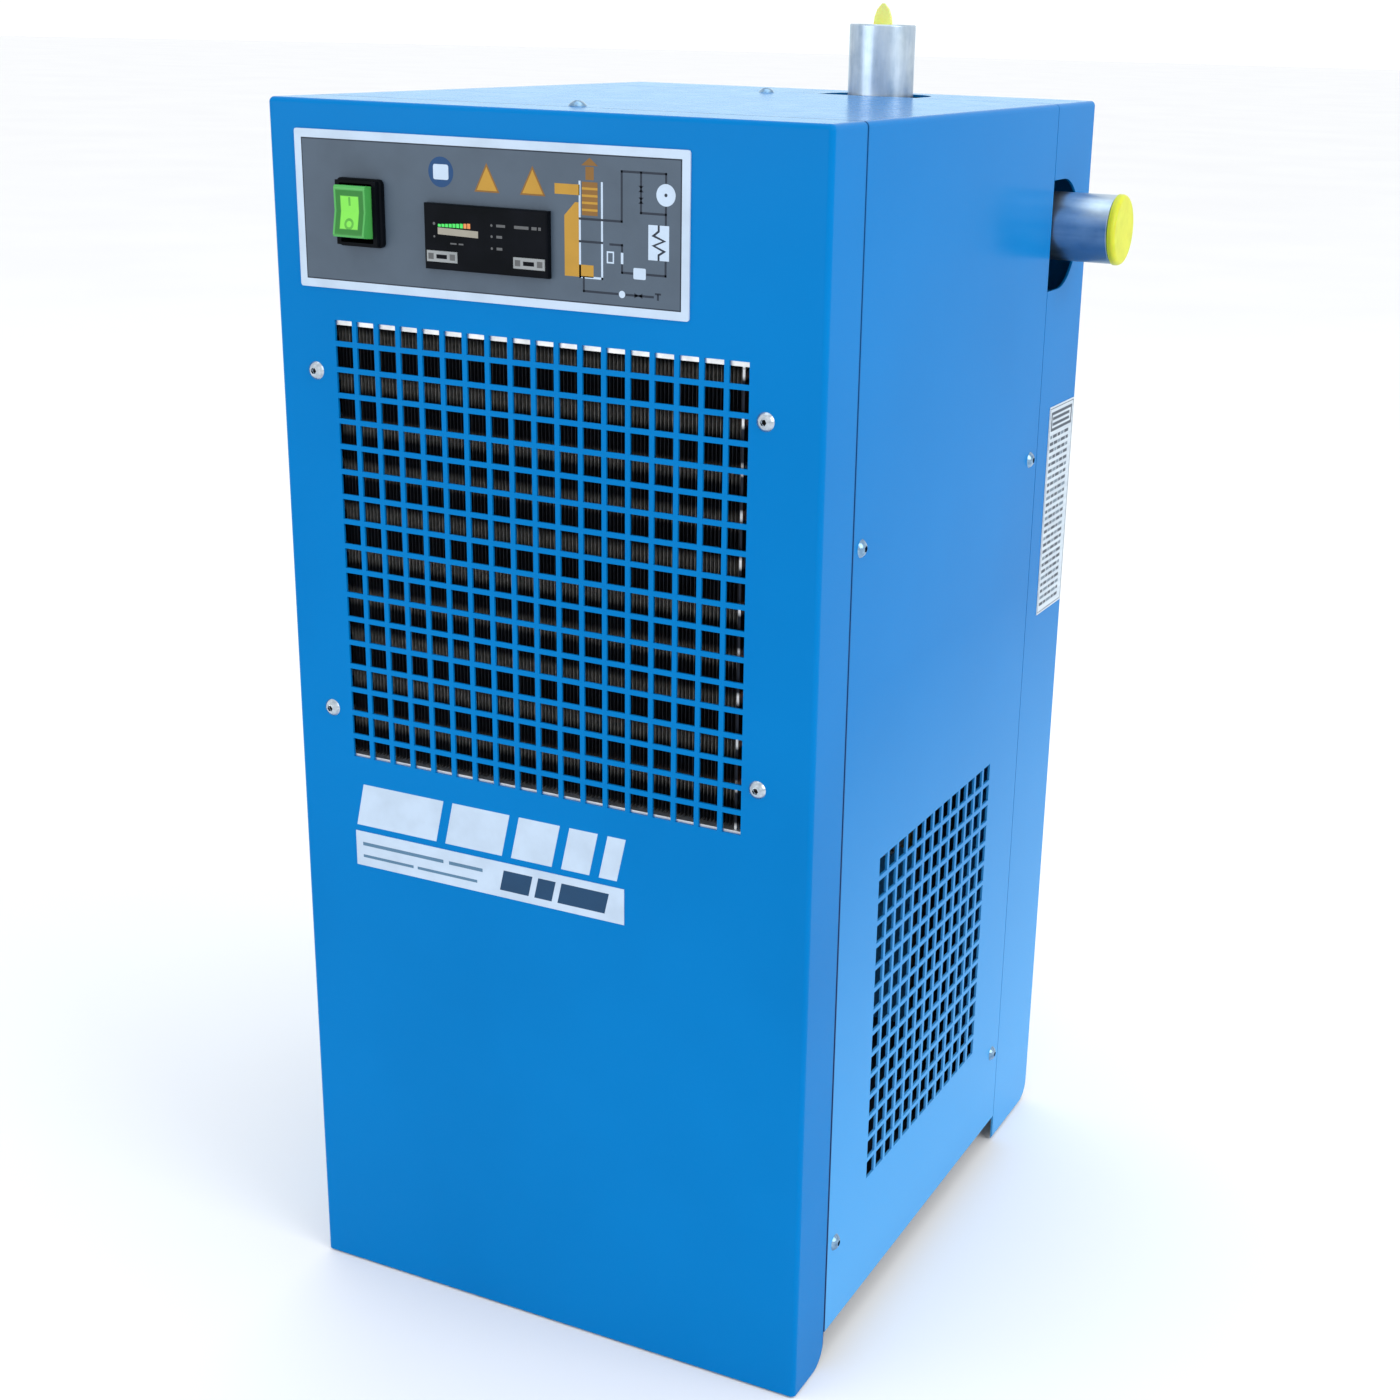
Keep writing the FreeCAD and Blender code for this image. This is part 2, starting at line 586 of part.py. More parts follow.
def switch_bezel():
    """The main switch's housing: a flange, a raised collar and the box behind the panel."""
    piece = Piece("switch_bezel")
    flange = f"{PLATE_FACE} - bezel_proud"
    collar = f"{PLATE_FACE} - collar_proud"
    piece.prism("XZ", flange, PLATE_FACE, centred("switch_x", "switch_z", "switch_wide", "switch_tall"))
    sides = (size.switch_x - size.switch_wide / 2, size.switch_x + size.switch_wide / 2)
    ends = (size.switch_z - size.switch_tall / 2, size.switch_z + size.switch_tall / 2)
    piece.round_edges("3", corner_edges, "xz", sides, ends)
    piece.round_edges("1.2", face_edges, "y", -size.depth / 2 - size.plate_gauge - size.bezel_proud)
    piece.prism("XZ", collar, flange, centred("switch_x", "switch_z", "switch_wide - 3", "switch_tall - 2"))
    box = centred("switch_x", "switch_z", "switch_wide - 3", "switch_tall - 3")
    piece.prism("XZ", PLATE_FACE, f"{FRONT} + 24", box)
    well = centred("switch_x", "switch_z", "rocker_wide + 1", "rocker_tall + 4")
    piece.prism("XZ", f"{collar} - 1", f"{FRONT} + 21", well, cut=True)
    pivot = (f"pivot_deep + {FRONT}", "switch_z")
    half = "rocker_wide/2 + 2.5"
    piece.tube("X", pivot, "pivot_round + 0.06", "0", f"switch_x - ({half})", f"switch_x + {half}", cut=True)


def switch_rocker():
    """The lit rocker with its two trunnions; its upper half is pressed in."""
    piece = Piece("switch_rocker")
    face = f"{PLATE_FACE} - rocker_proud"
    heel = f"pivot_deep + {FRONT} + 7"
    neck = f"pivot_deep + {FRONT} - 2"
    tall = "rocker_tall/2"
    outline = [
        (face, f"switch_z - {tall}"), (f"{face} + rocker_dip", "switch_z"), (face, f"switch_z + {tall}"),
        (neck, f"switch_z + {tall}"), (heel, "switch_z + 8"), (heel, "switch_z - 8"),
        (neck, f"switch_z - {tall}"),
    ]
    piece.prism("YZ", "switch_x - rocker_wide/2", "switch_x + rocker_wide/2", outline)
    face_y = -size.depth / 2 - size.plate_gauge - size.rocker_proud
    ends = (size.switch_z - size.rocker_tall / 2, size.switch_z + size.rocker_tall / 2)
    piece.round_edges("1.6", corner_edges, "yz", (face_y,), ends)
    pivot = (f"pivot_deep + {FRONT}", "switch_z")
    half = "rocker_wide/2 + 1.3"
    piece.tube("X", pivot, "pivot_round", "0", f"switch_x - ({half})", f"switch_x + {half}")
    centre = FreeCAD.Vector(0, size.pivot_deep - size.depth / 2, size.switch_z)
    tilt = FreeCAD.Rotation(FreeCAD.Vector(1, 0, 0), -size.rocker_tilt)
    piece.body.Placement = FreeCAD.Placement(FreeCAD.Vector(), tilt, centre)


def controller_housing():
    """The electronic controller: a flat face with two button wells, and the box behind the panel."""
    piece = Piece("controller_housing")
    face = f"{PLATE_FACE} - controller_proud"
    front = centred("controller_x", "controller_z", "controller_wide", "controller_tall")
    piece.prism("XZ", face, PLATE_FACE, front)
    face_y = -size.depth / 2 - size.plate_gauge - size.controller_proud
    piece.round_edges("1", face_edges, "y", face_y)
    box = centred("controller_x", "controller_z", "controller_box_wide", "controller_box_tall")
    piece.prism("XZ", PLATE_FACE, f"{FRONT} + 60", box)
    well_wide = "button_wide + 2*button_gap"
    well_tall = "button_tall + 2*button_gap"
    wells = [
        centred(f"controller_x + {side}*button_x", "controller_z + button_z", well_wide, well_tall)
        for side in (-1, 1)
    ]
    piece.prism("XZ", f"{face} - 1", f"{face} + 2.6", *wells, cut=True)


def controller_button(label, side):
    """One push button in its well."""
    piece = Piece(label)
    face = f"{PLATE_FACE} - controller_proud - button_proud"
    middle = f"controller_x + {side}*button_x"
    outline = centred(middle, "controller_z + button_z", "button_wide", "button_tall")
    piece.prism("XZ", face, f"{face} + 2", outline)
    face_y = -size.depth / 2 - size.plate_gauge - size.controller_proud - size.button_proud
    piece.round_edges("0.4", face_edges, "y", face_y)


def labels():
    """The name plate on the front and the rating plate on the side."""
    front = Piece("front_label")
    name_plate = rect("label_left", "label_low", "label_right", "label_top")
    front.prism("XZ", f"{FRONT} - label_gauge", FRONT, name_plate)
    side = Piece("rating_label")
    rating_plate = rect("rating_front", "rating_low", "rating_back", "rating_top")
    side.prism("YZ", HALF, f"{HALF} + label_gauge", rating_plate)


# ---------------------------------------------------------------- air ports
def air_inlet_coupling():
    """The inlet's pipe coupling, from the core's side to past the cabinet's side."""
    piece = Piece("air_inlet_coupling")
    centre = ("port_y", "inlet_z")
    mouth = f"{HALF} + port_reach"
    piece.tube("X", centre, "port_outer", "0", "core_right + 0.2", mouth)
    piece.round_edges("1", rim_edges, "x", size.width / 2 + size.port_reach, size.port_outer)
    piece.tube("X", centre, "port_thread", "0", "core_right", f"{mouth} + 1", cut=True)
    piece.tube("X", centre, "port_mouth", "0", f"{mouth} - mouth_deep", f"{mouth} + 1", cut=True)
    relief_end = f"{mouth} - mouth_deep - thread_long"
    piece.tube("X", centre, "port_thread + 1.2", "0", "core_right", relief_end, cut=True)


def air_outlet_coupling():
    """The outlet's pipe coupling, from the core's top to above the cabinet."""
    piece = Piece("air_outlet_coupling")
    centre = ("outlet_x", "port_y")
    mouth = "height + outlet_reach"
    piece.tube("Z", centre, "port_outer", "0", "core_top + 0.2", mouth)
    piece.round_edges("1", rim_edges, "z", size.height + size.outlet_reach, size.port_outer)
    piece.tube("Z", centre, "port_thread", "0", "core_top", f"{mouth} + 1", cut=True)
    piece.tube("Z", centre, "port_mouth", "0", f"{mouth} - mouth_deep", f"{mouth} + 1", cut=True)
    relief_end = f"{mouth} - mouth_deep - thread_long"
    piece.tube("Z", centre, "port_thread + 1.2", "0", "core_top", relief_end, cut=True)


def inlet_plug():
    """The push-in cap of the side port: a hollow stem and a domed flange."""
    piece = Piece("inlet_plug")
    centre = ("port_y", "inlet_z")
    seat = f"{HALF} + port_reach + plug_gap"
    piece.tube("X", centre, "plug_stem", "plug_stem - 1.6", f"{seat} - mouth_deep + 1", seat)
    piece.tube("X", centre, "plug_flange", "0", seat, f"{seat} + 4.7")
    face = size.width / 2 + size.port_reach + size.plug_gap + 4.7
    piece.round_edges("3", rim_edges, "x", face, size.plug_flange)


def outlet_plug():
    """The push-in cap of the top port, sunk in its mouth, with a pointed pull tab."""
    piece = Piece("outlet_plug")
    centre = ("outlet_x", "port_y")
    mouth = "height + outlet_reach"
    lid_low = f"{mouth} - 3"
    lid_top = f"{mouth} - 1.4"
    piece.tube("Z", centre, "plug_stem", "plug_stem - 1.6", f"{mouth} - mouth_deep + 0.6", lid_low)
    piece.tube("Z", centre, "plug_stem", "0", lid_low, lid_top)
    leaf = [
        ("outlet_x - tab_wide/2", lid_top), ("outlet_x + tab_wide/2", lid_top),
        ("outlet_x + tab_wide/2 - 0.6", f"{mouth} + tab_tall*0.35"),
        ("outlet_x + tab_wide/2 - 2.4", f"{mouth} + tab_tall*0.72"),
        ("outlet_x + 0.7", f"{mouth} + tab_tall"), ("outlet_x - 0.7", f"{mouth} + tab_tall"),
        ("outlet_x - tab_wide/2 + 2.4", f"{mouth} + tab_tall*0.72"),
        ("outlet_x - tab_wide/2 + 0.6", f"{mouth} + tab_tall*0.35"),
    ]
    piece.prism("XZ", "port_y - 0.9", "port_y + 0.9", leaf)


# ---------------------------------------------------------------- condenser and fan
def condenser_frame():
    """The condenser's galvanised frame: flange, duct plates, end plates and the two legs."""
    piece = Piece("condenser_frame")
    face = f"{FRONT} + gauge"
    flange_back = "gauge*2 - depth/2"
    low = "fin_low - 0.3"
    top = "fin_top + 0.5"
    window = rect("frame_left + leg_wide + 2", low, "frame_right - leg_wide", "fin_top - 0.4")
    piece.prism("XZ", face, flange_back, rect("frame_left", "frame_low", "frame_right", "frame_top"), window)
    duct = rect("frame_left + leg_wide", flange_back, "frame_right - leg_wide + 2", "fin_back + 4")
    piece.prism("XY", top, f"{top} + 1.5", duct)
    piece.prism("XY", f"{low} - 1.5", low, duct)
    for left in ("fin_left - 1.7", "fin_right + 0.2"):
        piece.prism("YZ", left, f"{left} + 1.5", rect("fin_front - 2", low, "fin_back + 4", top))
    for left, right in (("frame_left", "frame_left + leg_wide"), ("frame_right - leg_wide", "frame_right")):
        piece.prism("XZ", face, flange_back, rect(left, "base_top", right, "frame_low"))
        piece.prism("XY", "base_top", "base_top + gauge", rect(left, face, right, f"{face} + 20"))
    holes = [
        circle(x, z, "screw_hole")
        for x in ("front_screw_left", "front_screw_right")
        for z in ("front_screw_top", "front_screw_low")
    ]
    piece.prism("XZ", f"{face} - 1", f"{flange_back} + 1", *holes, cut=True)
    tube_holes(piece, "fin_left - 3", "fin_right + 3")


def tube_holes(piece, left, right):
    """The two rows of holes that the condenser's tubes pass through."""
    first = "fin_low + tube_first"
    for row in ("row_front", "row_back"):
        hole = piece.prism("YZ", left, right, circle(row, first, "tube_hole"), cut=True)
        piece.repeat(hole, ("V_Axis", "tube_pitch", "tube_count"))


def condenser_fins():
    """The fin pack, as the block that its thin plates fill."""
    piece = Piece("condenser_fins")
    piece.prism("XZ", "fin_front", "fin_back", rect("fin_left", "fin_low", "fin_right", "fin_top"))
    tube_holes(piece, "fin_left - 1", "fin_right + 1")


def serpentine(row):
    """One row of condenser tubes as a single snaking pipe, both of its ends at the left."""
    pitch = size.tube_pitch
    turn = pitch / 2
    left = size.fin_left - 3
    right = size.fin_right + 3
    stub = size.header_x + size.header_round + 0.2
    edges = []
    for number in range(int(size.tube_count)):
        level = size.fin_low + size.tube_first + number * pitch
        rightward = number % 2 == 0
        start = FreeCAD.Vector(left if rightward else right, row, level)
        end = FreeCAD.Vector(right if rightward else left, row, level)
        if number == 0:
            start.x = stub
        if number == size.tube_count - 1:
            end.x = stub
        edges.append(Part.LineSegment(start, end).toShape())
        if number < size.tube_count - 1:
            out = 1 if rightward else -1
            middle = FreeCAD.Vector(end.x + out * turn, row, level + turn)
            above = FreeCAD.Vector(end.x, row, level + pitch)
            edges.append(Part.Arc(end, middle, above).toShape())
    path = Part.Wire(edges)
    return swept(path, size.tube_outer).cut(swept(path, size.tube_outer - size.tube_wall))


def header_levels():
    """The levels of the lowest and the highest tube, where the two headers are."""
    low = size.fin_low + size.tube_first
    return low, low + (size.tube_count - 1) * size.tube_pitch


def condenser_tubes():
    """Both rows of tubes and the two headers that join them."""
    solids = [serpentine(row) for row in (size.row_front, size.row_back)]
    front = size.row_front - 9
    long = size.row_back + 8 - front
    for level in header_levels():
        start = FreeCAD.Vector(size.header_x, front, level)
        solids.append(Part.makeCylinder(size.header_round, long, start, FreeCAD.Vector(0, 1, 0)))
    shaped("condenser_tubes", Part.makeCompound(solids))


def fan_shroud():
    """The plate behind the condenser with the fan's ring."""
    piece = Piece("fan_shroud")
    outline = rect("fin_left - 4", "fin_low - 12", "frame_right - 10", "fin_top + 8")
    piece.prism("XZ", "shroud_front", "shroud_front + gauge", outline, circle("fan_x", "fan_z", "fan_ring"))
    ring = (circle("fan_x", "fan_z", "fan_ring + 1.5"), circle("fan_x", "fan_z", "fan_ring"))
    piece.prism("XZ", "shroud_front + gauge", "fan_back + 2", *ring)


def fan_bracket():
    """The ring that clamps the motor, on four arms that stand on the shroud plate."""
    piece = Piece("fan_bracket")
    back = "motor_front + 6"
    ring = (circle("fan_x", "fan_z", "motor_round + 4"), circle("fan_x", "fan_z", "motor_round + 0.1"))
    piece.prism("XZ", "motor_front + 2", back, *ring)
    for side in (-1, 1):
        near = f"fan_x + {side}*(motor_round + 0.5)"
        far = f"fan_x + {side}*(fan_ring + 3)"
        low, high = (far, near) if side < 0 else (near, far)
        for up in (-1, 1):
            level = f"fan_z + {up}*15"
            piece.prism("XZ", "motor_front + 2", back, rect(low, f"{level} - 4", high, f"{level} + 4"))
            foot = rect(f"{far} - 1.5", f"{level} - 4", f"{far} + 1.5", f"{level} + 4")
            piece.prism("XZ", "shroud_front + gauge", back, foot)


def fan_motor():
    """The fan's motor: a round can with a shaft bore in its nose."""
    piece = Piece("fan_motor")
    piece.tube("Y", ("fan_x", "fan_z"), "motor_round", "0", "motor_front", "motor_back")
    piece.round_edges("5", rim_edges, "y", size.motor_back, size.motor_round)
    piece.tube("Y", ("fan_x", "fan_z"), "14", "0", "motor_front - 4", "motor_front")
    piece.tube("Y", ("fan_x", "fan_z"), "shaft_bore", "0", "motor_front - 5", "motor_front + 30", cut=True)


def fan_blades():
    """The fan: hub, five pitched blades and the shaft pressed in it."""
    along = FreeCAD.Vector(0, 1, 0)
    hub_long = size.fan_back - size.fan_front
    hub = Part.makeCylinder(size.hub_round, hub_long, FreeCAD.Vector(0, size.fan_front, 0), along)
    hub = hub.makeFillet(5, [edge for edge in hub.Edges if abs(edge.BoundBox.YMax - size.fan_front) < 1e-4])
    shaft_long = size.motor_front + 25 - size.fan_back
    shaft = Part.makeCylinder(size.shaft_round, shaft_long, FreeCAD.Vector(0, size.fan_back, 0), along)
    middle = (size.fan_front + size.fan_back) / 2
    stations = ((size.hub_round - 4, 30, 42), (70, 52, 30), (size.fan_round - 4, 66, 22))
    sections = []
    for radius, chord, pitch in stations:
        half = chord / 2
        outline = ((-half, -0.5), (0, 1.4), (half, -0.5), (half, 0.5), (0, 3.0), (-half, 0.5), (-half, -0.5))
        section = Part.makePolygon([FreeCAD.Vector(x, y, 0) for x, y in outline])
        section.rotate(FreeCAD.Vector(), FreeCAD.Vector(0, 0, 1), pitch)
        section.translate(FreeCAD.Vector(0, middle - 1, radius))
        sections.append(section)
    blade = Part.makeLoft(sections, True, False)
    fan = hub.fuse(shaft)
    for number in range(int(size.blade_count)):
        turned = blade.copy()
        turned.rotate(FreeCAD.Vector(), along, 360 * number / size.blade_count)
        fan = fan.fuse(turned)
    rim = Part.makeCylinder(size.fan_round, 60, FreeCAD.Vector(0, middle - 30, 0), along)
    fan = fan.common(rim.fuse(shaft))
    fan.translate(FreeCAD.Vector(size.fan_x, 0, size.fan_z))
    shaped("fan_blades", fan.removeSplitter())


# ---------------------------------------------------------------- compressor
COMP = ("comp_x", "comp_y")


def compressor_shells():
    """The sealed shell: a deep lower cup and an upper cup with a domed top."""
    wall = "shell_round - shell_wall"
    lower = Piece("compressor_lower_shell")
    lower.tube("Z", COMP, "shell_round", "0", "shell_low", "shell_seam - 0.1")
    lower.round_edges("shell_dome - 8", rim_edges, "z", size.shell_low, size.shell_round)
    floor = "shell_low + shell_wall"
    seam = "shell_seam"
    cup = [("0", floor), (f"{wall} - 10", floor), (wall, f"{floor} + 10"), (wall, seam), ("0", seam)]
    lower.turn("Z", COMP, cup, cut=True)
    upper = Piece("compressor_upper_shell")
    upper.tube("Z", COMP, "shell_round", "0", "shell_seam + 0.1", "shell_top")
    upper.round_edges("shell_dome", rim_edges, "z", size.shell_top, size.shell_round)
    roof = "shell_top - shell_wall"
    dome = [("0", roof), (f"{wall} - 16", roof), (wall, f"{roof} - 16"), (wall, seam), ("0", seam)]
    upper.turn("Z", COMP, dome, cut=True)


def compressor_insides():
    """The motor's stator and rotor, and the crankcase that carries the crankshaft."""
    stator = Piece("compressor_stator")
    stator.tube("Z", COMP, "stator_round", "stator_bore", "stator_low", "stator_top")
    windings = (("stator_low - winding_tall", "stator_low"), ("stator_top", "stator_top + winding_tall"))
    for low, high in windings:
        stator.tube("Z", COMP, "stator_round - 8", "stator_bore + 2", low, high)
    rotor = Piece("compressor_rotor")
    rotor.tube("Z", COMP, "rotor_round", "0", "stator_low + 2", "stator_top - 2")
    rotor.tube("Z", COMP, "crank_shaft", "0", "stator_low - 4", "bearing_top + 4")
    web_low = "bearing_top + 2"
    web_top = "bearing_top + 6"
    rotor.prism("XY", web_low, web_top, circle("comp_x + crank_throw/2", "comp_y", "crank_throw + 6"))
    pin = circle("comp_x + crank_throw", "comp_y", "crank_pin")
    rotor.prism("XY", "bearing_top + 4", "cylinder_z + 8", pin)
    crankcase = Piece("compressor_crankcase")
    disc_top = "bearing_low + 10"
    crankcase.tube("Z", COMP, "shell_round - shell_wall - 0.1", "crank_bore", "bearing_low", disc_top)
    crankcase.tube("Z", COMP, "20", "crank_bore", disc_top, "bearing_top")
    block = rect("comp_x + 24", "comp_y - 20", "comp_x + 58", "comp_y + 20")
    crankcase.prism("XY", disc_top, "cylinder_z + 18", block)
    bore = ("comp_y", "cylinder_z")
    crankcase.tube("X", bore, "cylinder_round", "0", "comp_x + 20", "comp_x + 60", cut=True)
    posts = [
        circle(f"comp_x + {x}*38.2", f"comp_y + {y}*38.2", "2.5") for x in (-1, 1) for y in (-1, 1)
    ]
    crankcase.prism("XY", "stator_top", "bearing_low", *posts)


def compressor_fixings():
    """The four rubber grommets and the four bolts with their washers."""
    grommets = []
    bolts = []
    foot_top = size.foot_z + size.foot_gauge + 1
    for x in (-1, 1):
        for y in (-1, 1):
            spot = FreeCAD.Vector(size.comp_x + x * size.foot_x, size.comp_y + y * size.foot_y, size.base_top)
            grommet = Part.makeCylinder(size.grommet_neck + 4, size.foot_z - size.base_top, spot)
            grommet = grommet.fuse(Part.makeCylinder(size.grommet_neck, foot_top - size.base_top, spot))
            bore = Part.makeCylinder(size.bolt_hole, 40, spot - FreeCAD.Vector(0, 0, 5))
            grommets.append(grommet.cut(bore))
            top = FreeCAD.Vector(spot.x, spot.y, foot_top)
            washer = Part.makeCylinder(9, 1.5, top)
            head = Part.makeCylinder(6.5, 5, top + FreeCAD.Vector(0, 0, 1.5))
            shank_long = foot_top - size.base_top + size.base_gauge + 4
            shank = Part.makeCylinder(size.bolt_round, shank_long, top - FreeCAD.Vector(0, 0, shank_long))
            bolts.append(washer.fuse(head).fuse(shank))
    shaped("rubber_grommets", Part.makeCompound(grommets))
    shaped("compressor_bolts", Part.makeCompound(bolts))


def compressor_mounting():
    """The feet under the compressor and the cover over its terminals."""
    feet = Piece("compressor_feet")
    outline = centred("comp_x", "comp_y", "2*(foot_x + foot_rim_x)", "2*(foot_y + foot_rim_y)")
    spots = [(f"comp_x + {x}*foot_x", f"comp_y + {y}*foot_y") for x in (-1, 1) for y in (-1, 1)]
    feet.prism(
        "XY", "foot_z", "foot_z + foot_gauge", outline, circle("comp_x", "comp_y", "30"),
        *[circle(x, y, "grommet_neck + 0.2") for x, y in spots],
    )
    reach_x = size.foot_x + size.foot_rim_x
    reach_y = size.foot_y + size.foot_rim_y
    sides = (size.comp_x - reach_x, size.comp_x + reach_x)
    ends = (size.comp_y - reach_y, size.comp_y + reach_y)
    feet.round_edges("10", corner_edges, "xy", sides, ends)
    feet.tube("Z", COMP, "44", "36", "foot_z + foot_gauge", "shell_low")
    cover = Piece("compressor_terminal_cover")
    near = "comp_y - shell_round - 0.2"
    outline = rect("comp_x - cover_half", f"{near} - cover_half", "comp_x + cover_half", near)
    cover.prism("XY", "cover_low", "cover_top", outline)
    front = size.comp_y - size.shell_round - 0.2 - size.cover_half
    sides = (size.comp_x - size.cover_half, size.comp_x + size.cover_half)
    cover.round_edges("5", corner_edges, "xy", sides, (front,))


# ---------------------------------------------------------------- heat exchanger
def exchanger():
    """The exchanger's core between the two halves of its foam, on its stand."""
    core = Piece("exchanger_core")
    core.prism("XZ", "core_front", "core_back", rect("core_left", "core_low", "core_right", "core_top"))
    sides = (size.core_left, size.core_right)
    core.round_edges("10", corner_edges, "xz", sides, (size.core_low, size.core_top))
    outside = rect("core_left - foam", "core_low - foam", "core_right + foam", "core_top + foam")
    inside = rect(
        "core_left - foam_gap", "core_low - foam_gap", "core_right + foam_gap", "core_top + foam_gap"
    )
    halves = (
        ("insulation_front", "core_front - foam_side", "port_y - 0.1", "core_front - foam_gap", "port_y + 1"),
        ("insulation_rear", "port_y + 0.1", "core_back + foam_side", "port_y - 1", "core_back + foam_gap"),
    )
    pipe_holes = (
        ("X", ("port_y", "inlet_z"), "port_outer", "core_right - 5", "core_right + 20"),
        ("Z", ("outlet_x", "port_y"), "port_outer", "core_top - 5", "core_top + 20"),
        ("Z", ("drain_x", "port_y"), "drain_pipe", "core_low - 20", "core_low + 5"),
    )
    line_holes = (
        ("core_port_y", "core_suction_z", "suction_round + 0.35"),
        ("core_port_y", "core_bypass_z", "line_round + 0.34"),
        ("capillary_y", "core_capillary_z", "capillary_round + 0.5"),
    )
    for label, near, far, hollow_near, hollow_far in halves:
        half = Piece(label)
        half.prism("XZ", near, far, outside)
        half.prism("XZ", hollow_near, hollow_far, inside, cut=True)
        for axis, centre, radius, low, high in pipe_holes:
            half.tube(axis, centre, f"{radius} + 0.3", "0", low, high, cut=True)
        if label == "insulation_front":
            for y, z, radius in line_holes:
                half.tube("X", (y, z), radius, "0", "core_left - 20", "core_left + 5", cut=True)
    stand = Piece("exchanger_stand")
    back = f"{BACK} - gauge"
    under = "core_low - foam"
    shelf = f"{under} - stand_gauge"
    stand.prism("XY", shelf, under, rect("stand_left", "stand_front", "stand_right", back))
    sides = (
        ("stand_left", "stand_left + stand_gauge", "stand_left", "stand_left + stand_flange"),
        ("stand_right - stand_gauge", "stand_right", "stand_right - stand_flange", "stand_right"),
    )
    for low, high, left, right in sides:
        stand.prism("YZ", low, high, rect("stand_front", "base_top", back, shelf))
        stand.prism("XZ", f"{back} - stand_gauge", back, rect(left, "base_top", right, shelf))
        foot = rect(left, "stand_front", right, "stand_front + 50")
        stand.prism("XY", "base_top", "base_top + stand_gauge", foot)
    stand.prism("XZ", f"{back} - 3", f"{back} + 1", *stand_screw_holes(), cut=True)
    stand.tube("Z", ("drain_x", "port_y"), "12", "0", f"{under} - 5", f"{under} + 1", cut=True)


# ---------------------------------------------------------------- refrigerant circuit
def refrigerant_lines():
    """The copper lines, each from one piece's face to the next piece's face."""
    x = size.header_x
    low, top = header_levels()
    header_end = size.row_back + 8.2
    shell_gap = size.shell_round + 0.3
    comp_level = size.discharge_z
    discharge = [
        (x, header_end, top), (x, size.discharge_y, top), (x, size.discharge_y, comp_level),
        (x, size.comp_y, comp_level), (size.comp_x - shell_gap, size.comp_y, comp_level),
    ]
    shaped("discharge_line", bent_pipe(discharge, 18, size.line_round, size.line_wall))
    filter_y = size.filter_y
    liquid = [(x, header_end, low), (x, filter_y, low), (x, filter_y, size.filter_top + 12.3)]
    shaped("liquid_line", bent_pipe(liquid, 14, size.liquid_round, 0.7))
    core_left = size.core_left - 0.3
    left, back = size.suction_x, size.suction_y
    port_y = size.core_port_y
    suction = [
        (core_left, port_y, size.core_suction_z), (left, port_y, size.core_suction_z),
        (left, back, size.core_suction_z), (left, back, size.suction_z), (size.comp_x, back, size.suction_z),
        (size.comp_x, size.comp_y + shell_gap, size.suction_z),
    ]
    shaped("suction_line", bent_pipe(suction, 15, size.suction_round, 0.9))
    level = size.core_bypass_z
    bypass = [(x, size.valve_y + 13.4, level), (x, port_y, level), (core_left, port_y, level)]
    feed_from = FreeCAD.Vector(x, size.discharge_y + size.line_round + 0.3, level)
    feed_to = FreeCAD.Vector(x, size.valve_y - 13.4, level)
    feed = swept(Part.Wire([Part.LineSegment(feed_from, feed_to).toShape()]), size.line_round - 0.26)
    returning = bent_pipe(bypass, 14, size.line_round, size.line_wall)
    shaped("bypass_line", Part.makeCompound([returning, feed]))
    shaped("capillary_coil", bent_pipe(capillary_points(x, filter_y), 8, size.capillary_round, 0))


def capillary_points(centre_x, centre_y):
    """The capillary tube's route: down out of the filter, three square turns, then up to the core."""
    reach = 18
    fall = 1.2
    sides = 12
    start = size.filter_low - 12.3
    level = start - 41.7
    points = [(centre_x, centre_y, start), (centre_x, centre_y, level + 9)]
    points.append((centre_x + reach, centre_y, level + 4))
    corners = ((1, 1), (-1, 1), (-1, -1), (1, -1))
    for turn in range(sides):
        side_x, side_y = corners[turn % 4]
        points.append((centre_x + side_x * reach, centre_y + side_y * reach, level))
        level -= fall
    points.append((centre_x + reach, centre_y + reach + 6, level))
    points.append((size.suction_x, centre_y + 40, level - 6))
    points.append((size.suction_x, size.capillary_y, level - 10))
    points.append((size.suction_x, size.capillary_y, size.core_capillary_z))
    points.append((size.core_left - 0.3, size.capillary_y, size.core_capillary_z))
    return points


def refrigerant_parts():
    """Filter dryer, hot gas valve and high-pressure switch."""
    filter_dryer = Piece("filter_dryer")
    axis = ("header_x", "filter_y")
    filter_dryer.tube("Z", axis, "filter_round", "0", "filter_low", "filter_top")
    filter_dryer.round_edges("8", end_rims, "z", size.filter_low, size.filter_top)
    filter_dryer.tube("Z", axis, "5", "0", "filter_low - 12", "filter_low + 2")
    filter_dryer.tube("Z", axis, "5", "0", "filter_top - 2", "filter_top + 12")
    valve = Piece("hot_gas_valve")
    stem = ("header_x", "valve_y")
    level = "core_bypass_z"
    valve.tube("Y", ("header_x", level), "8", "0", "valve_y - 13", "valve_y + 13")
    valve.tube("Z", stem, "11", "0", f"{level} - 14", f"{level} + 26")
    valve.tube("Z", stem, "21", "0", f"{level} + 26", f"{level} + 36")
    valve.round_edges("3", rim_edges, "z", size.core_bypass_z + 36, 21)
    valve.tube("Z", stem, "9", "0", f"{level} + 36", f"{level} + 50")
    switch = Piece("pressure_switch")
    axis = ("discharge_y", "sensor_z")
    switch.tube("X", axis, "3", "0", "header_x + 5", "header_x + 14")
    switch.tube("X", axis, "sensor_round", "0", "header_x + 14", "header_x + 44")
    switch.round_edges("2", rim_edges, "x", size.header_x + 44, size.sensor_round)


